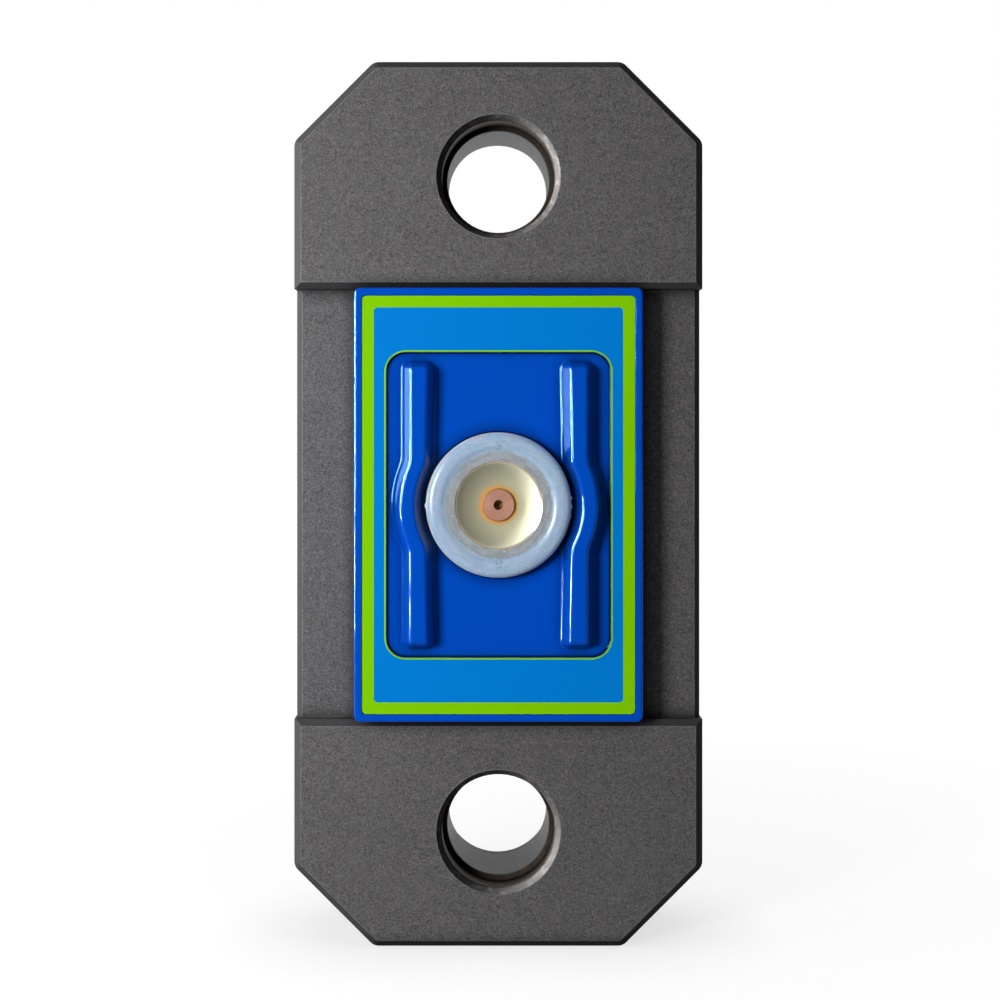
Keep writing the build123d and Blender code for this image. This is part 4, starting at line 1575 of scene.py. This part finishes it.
@dataclass
class Fasteners:
    """The cover screws with their washers, the knurled inserts and the board screws."""

    cover: ScrewSize = ScrewSize(0.0035, 0.002, 0.0024, 0.00125, 0.0007)
    board: ScrewSize = ScrewSize(0.0023, 0.00125, 0.0014, 0.00075, 0.00045)
    head_round: float = 0.0005
    thread_length: float = 0.009
    knurl_count: int = 26
    knurl_size: float = 0.00035

    def spans(self, node: str, width: float) -> dict:
        """The grid that four like pieces of a node stand on.

        Args:
            node: The CAD node with the four pieces.
            width: The width of one piece.

        Returns:
            The grid's inputs.
        """
        low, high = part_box(node)
        middle = (low + high) / 2
        return {
            "width": high.x - low.x - width, "height": high.z - low.z - width, "columns": 2, "rows": 2,
            "centre": (middle.x, 0.0, middle.z),
        }

    def screw(self, name: str, node: str, size: ScrewSize) -> bpy.types.Object:
        """One screw with a rounded head, a hexagon socket and its thread, at the row's own depth.

        Args:
            name: The piece's name.
            node: The CAD node it stands for.
            size: The screw's sizes.

        Returns:
            The screw, centred on the origin across.
        """
        low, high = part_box(node)
        rear, tip = high.y, low.y
        head, shank, socket, pitch = size.head, size.shank, size.socket, size.pitch
        floor = rear - 0.6 * size.head_height
        rings = [Ring(socket * 0.98, floor, 6), Ring(socket, rear - SOFT, 6), Ring(socket + SOFT, rear)]
        soft = min(self.head_round, 0.3 * size.head_height)
        for step in range(6):
            turn = math.pi / 2 * step / 5
            rings.append(Ring(head - soft + soft * math.sin(turn), rear - soft + soft * math.cos(turn)))
        under = rear - size.head_height
        rings += [Ring(head, under + SOFT), Ring(head - SOFT, under), Ring(shank, under)]
        depth = tip + min(self.thread_length, 0.8 * (under - tip))
        while depth > tip + 1.6 * pitch:
            rings.append(Ring(shank, depth))
            rings.append(Ring(shank - 0.3 * pitch, depth - pitch / 2))
            depth -= pitch
        rings += [Ring(shank, depth), Ring(shank, tip + 0.0004), Ring(shank - 0.0004, tip)]
        return turned(name, rings, Vector((0, 0, 0)), around=36)

    def build(self) -> None:
        """Builds and places the screws and inserts."""
        screw = self.screw("cover_screw_set", "cover_screws", self.cover)
        spans = self.spans("cover_screws", 2 * self.cover.head)
        spots = self.corner_spots(spans)
        steel = TurnedMetal(
            "screw_steel", "steel", (0.52, 0.52, 0.53), 0.24, metallic=1.0, fineness=2000.0, mottle=0.25,
            edge=0.3,
            centres=spots, pitch=0.0003,
        )
        repeat(screw, Repeats.corners(), steel, **spans)
        dress(screw, steel, Body.CELL, "cover_screws")
        small = self.screw("board_screw_set", "board_screws", self.board)
        zinc = Finish(
            "zinc_screw", "steel", (0.60, 0.58, 0.50), 0.28, metallic=1.0, fineness=2200.0, mottle=0.3,
            edge=0.2,
        )
        repeat(small, Repeats.corners(), zinc, **self.spans("board_screws", 2 * self.board.head))
        dress(small, zinc, Body.CELL, "board_screws")
        self.inserts(spans)
        rubber = Finish(
            "seal_rubber", "gasket", (0.022, 0.022, 0.023), 0.55, fineness=1500.0, mottle=0.35, bump=0.03,
            edge=0.1,
        )
        for node in ("front_gasket", "rear_gasket", "screw_washers"):
            dress_node(node, rubber)

    def corner_spots(self, spans: dict) -> tuple:
        """The four places of a grid of two by two.

        Args:
            spans: The grid that the places lie on.

        Returns:
            The places, all at a depth of 0.
        """
        x, z = spans["width"] / 2, spans["height"] / 2
        middle = spans["centre"]
        return tuple((middle[0] + sx * x, 0.0, middle[2] + sz * z) for sx in (-1, 1) for sz in (-1, 1))

    def inserts(self, spans: dict) -> None:
        """The four inserts: a grooved sleeve each, with a ring of fine ridges at both ends.

        Args:
            spans: The grid that the inserts stand on.
        """
        low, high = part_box("threaded_inserts")
        outer, inner, groove = 0.0028, 0.002, 0.0003
        core = outer - 0.6 * self.knurl_size
        middle = (low.y + high.y) / 2
        rings = [
            Ring(inner, low.y), Ring(core, low.y), Ring(core, middle - groove),
            Ring(outer - groove, middle - groove), Ring(outer - groove, middle + groove),
            Ring(core, middle + groove), Ring(core, high.y), Ring(inner, high.y),
        ]
        steps = 10
        for step in range(1, 2 * steps):
            depth = high.y - (high.y - low.y) * step / (2 * steps)
            rings.append(Ring(inner + (0.00012 if step % 2 else 0.0), depth))
        brass = Finish(
            "knurled_brass", "insert", (0.72, 0.50, 0.19), 0.28, metallic=1.0, fineness=2000.0, mottle=0.3,
            edge=0.3,
        )
        sleeve = turned("insert_sleeves", rings, Vector((0, 0, 0)), around=40, closed=True)
        repeat(sleeve, Repeats.corners(), brass, **spans)
        dress(sleeve, brass, Body.CELL, "threaded_inserts")
        length = (high.y - low.y) / 2 - groove - 0.0002
        ends = {
            "insert_knurls_front": low.y + length / 2 + SOFT,
            "insert_knurls_rear": high.y - length / 2 - SOFT,
        }
        for name, depth in ends.items():
            size = (self.knurl_size, self.knurl_size * 1.2, length)
            ridge = box_piece(name, size, (-self.knurl_size / 2, 0.0, 0.0), 0.00008)
            centre = (0.0, depth, 0.0)
            repeat(ridge, Repeats.spokes(), brass, count=self.knurl_count, radius=outer, centre=centre)
            repeat(ridge, Repeats.corners(), brass, **spans)
            dress(ridge, brass, Body.CELL)


@dataclass
class Electronics:
    """The board and what is on it."""

    leg_count: int = 7
    leg_pitch: float = 0.0008
    chip_size: tuple[float, float, float] = (0.0010, 0.0005, 0.0018)

    def build(self) -> None:
        """Dresses the board's parts and adds the chip's legs and the small parts."""
        board = Circuit(
            "green_board", "board", (0.012, 0.14, 0.055), 0.34, fineness=2400.0, mottle=0.15, edge=0.15,
        )
        dress_node("main_board", board)
        gold = Finish(
            "gold_flash", "pads", (0.83, 0.60, 0.25), 0.22, metallic=1.0, fineness=2600.0, mottle=0.3,
            edge=0.2,
        )
        dress_node("switch_pads", gold)
        tin = Finish(
            "tinned_can", "module_can", (0.66, 0.66, 0.65), 0.3, metallic=1.0, fineness=1200.0, mottle=0.35,
            scuff=0.2,
        )
        dress_node("radio_module", tin)
        low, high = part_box("antenna")
        ceramic = Capped(
            "white_ceramic", "ceramic", (0.74, 0.73, 0.69), 0.4, fineness=2600.0, mottle=0.15, axis=Axis.X,
            centre=tuple((low + high) / 2), start=0.8 * (high.x - low.x) / 2,
        )
        dress_node("antenna", ceramic)
        black = Finish(
            "moulded_black", "chip", (0.028, 0.028, 0.031), 0.46, fineness=2800.0, mottle=0.5, bump=0.03,
            edge=0.3,
        )
        dress_node("amplifier_chip", black)
        low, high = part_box("lead_sockets")
        middle = (low + high) / 2
        socket = Stripes(
            "socket_black", "chip", (0.03, 0.03, 0.032), 0.42, fineness=2600.0, mottle=0.4, edge=0.3,
            axis=Axis.Z,
            pitch=0.001, share=0.35, second=(0.75, 0.6, 0.35), centre=tuple(middle),
            reach=(1.0, 1.0, 0.8 * (high.z - low.z) / 2),
        )
        dress_node("lead_sockets", socket)
        self.legs()
        self.small_parts()

    def legs(self) -> None:
        """Bent legs along both sides of the amplifier chip."""
        low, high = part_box("amplifier_chip")
        tin = Finish(
            "tinned_leg", "module_can", (0.70, 0.69, 0.66), 0.3, metallic=1.0, fineness=2000.0, mottle=0.2,
            edge=0.0,
        )
        wide, thick, out = 0.0004, 0.00018, 0.0011
        rise = 0.6 * (high.y - low.y)
        path = [(0.0, -rise), (0.45 * out, -rise), (0.6 * out, -thick), (out, -thick)]
        for name, side in (("chip_legs_left", -1), ("chip_legs_right", 1)):
            points, faces = [], []
            for x, y in path:
                for dy in (0.0, thick):
                    for dz in (-wide / 2, wide / 2):
                        points.append((side * x, y + dy, dz))
            for index in range(len(path) - 1):
                a, b = 4 * index, 4 * index + 4
                faces += [(a, a + 1, b + 1, b), (a + 2, b + 2, b + 3, a + 3)]
                faces += [(a, b, b + 2, a + 2), (a + 1, a + 3, b + 3, b + 1)]
            last = 4 * (len(path) - 1)
            faces += [(0, 2, 3, 1), (last, last + 1, last + 3, last + 2)]
            leg = new_piece(name, points, faces)
            x = high.x if side > 0 else low.x
            centre = (x, high.y, (low.z + high.z) / 2)
            repeat(
                leg, Repeats.corners(), tin, width=0.0, height=self.leg_pitch * (self.leg_count - 1),
                columns=1,
                rows=self.leg_count, centre=centre,
            )
            dress(leg, tin, Body.CELL)

    def small_parts(self) -> None:
        """Rows of small chip parts beside the radio module and the amplifier."""
        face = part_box("main_board")[0].y
        chip, radio = centre_of("amplifier_chip").z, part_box("radio_module")[0].z
        pitch = 0.0035
        rows = {
            "capacitors_low": ((0.42, 0.30, 0.17), 0.0125, chip, 0.0084, 3, 2),
            "resistors_low": ((0.03, 0.03, 0.032), -0.0125, chip, 0.0084, 3, 2),
            "capacitors_high": ((0.42, 0.30, 0.17), 0.0, radio - pitch, 0.0084, 5, 1),
        }
        for name, (colour, x, z, width, columns, count) in rows.items():
            finish = Capped(
                name, "ceramic", colour, 0.4, fineness=2600.0, mottle=0.2, edge=0.1, axis=Axis.Z,
                centre=(x, face, z + pitch / 2 * (count - 1)), start=0.0006, pitch=pitch,
            )
            part = box_piece(name, self.chip_size, (0.0, -self.chip_size[1] / 2, 0.0), 0.00008)
            repeat(
                part, Repeats.corners(), finish, width=width, height=pitch * (count - 1), columns=columns,
                rows=count,
                centre=(x, face, z),
            )
            dress(part, finish, Body.CELL)


@dataclass
class Gauges:
    """The strain gauges and the leads to the board."""

    grid_pitch: float = 0.0005

    def build(self) -> None:
        """Dresses the gauges with their grids and the leads with their tracks."""
        for side in ("left", "right"):
            low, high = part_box(f"strain_gauge_{side}")
            middle = (low + high) / 2
            gauge = Stripes(
                f"gauge_film_{side}", "film", (0.55, 0.26, 0.05), 0.35, fineness=1800.0, mottle=0.15,
                edge=0.0,
                axis=Axis.Y, pitch=self.grid_pitch, share=0.5, second=(0.60, 0.60, 0.58),
                centre=tuple(middle),
                reach=(1.0, 0.3 * (high.y - low.y), 0.32 * (high.z - low.z)),
            )
            dress_node(f"strain_gauge_{side}", gauge)
            low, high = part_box(f"gauge_lead_{side}")
            middle = (low + high) / 2
            lead = Stripes(
                f"lead_film_{side}", "film", (0.58, 0.28, 0.05), 0.33, fineness=1600.0, mottle=0.15, edge=0.0,
                axis=Axis.Z, pitch=0.0013, share=0.5, second=(0.72, 0.38, 0.24), centre=tuple(middle),
                reach=(1.0, 1.0, 0.44 * (high.z - low.z)),
            )
            dress_node(f"gauge_lead_{side}", lead)


@dataclass
class Battery:
    """The tray with its cells and contacts, and the pad that holds the cells down."""

    count: int = 3

    def build(self) -> None:
        """Dresses the pieces."""
        tray = Finish(
            "tray_black", "tray", (0.035, 0.035, 0.038), 0.42, fineness=1500.0, mottle=0.3, bump=0.02,
            edge=0.2,
        )
        dress_node("battery_tray", tray)
        nickel = Finish(
            "nickel", "contact", (0.68, 0.66, 0.61), 0.24, metallic=1.0, fineness=1700.0, mottle=0.3,
            scuff=0.2, edge=0.0,
        )
        dress_node("battery_tabs", nickel)
        dress_node("battery_springs", nickel)
        for index in range(1, self.count + 1):
            low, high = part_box(f"battery_{index}")
            middle = (low + high) / 2
            half = (high.z - low.z) / 2
            up = 1 if index % 2 else -1
            band = sorted((up * 0.45 * half, up * 0.8 * half))
            cell = Capped(
                f"cell_wrap_{index}", "cell", (0.10, 0.11, 0.13), 0.3, fineness=900.0, mottle=0.12, scuff=0.1,
                edge=0.0, axis=Axis.Z, centre=tuple(middle), start=half - 0.0022, band_start=band[0],
                band_end=band[1], band_colour=(0.55, 0.42, 0.16),
            )
            dress_node(f"battery_{index}", cell)
        foam = Foam("grey_foam", "pad", (0.06, 0.06, 0.065), 0.85, fineness=1500.0, mottle=0.4, edge=0.0)
        dress_node("battery_pad", foam)


def main() -> None:
    """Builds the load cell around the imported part."""
    logging.basicConfig(level=logging.INFO, format="%(name)s: %(message)s")
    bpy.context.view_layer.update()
    assemblies = (Studio, LoadBar, Housing, PushButton, ButtonWorks, Fasteners, Electronics, Gauges, Battery)
    for assembly in (kind() for kind in assemblies):
        assembly.build()
        log.info("%s done", type(assembly).__name__)


if __name__ == "__main__":
    main()
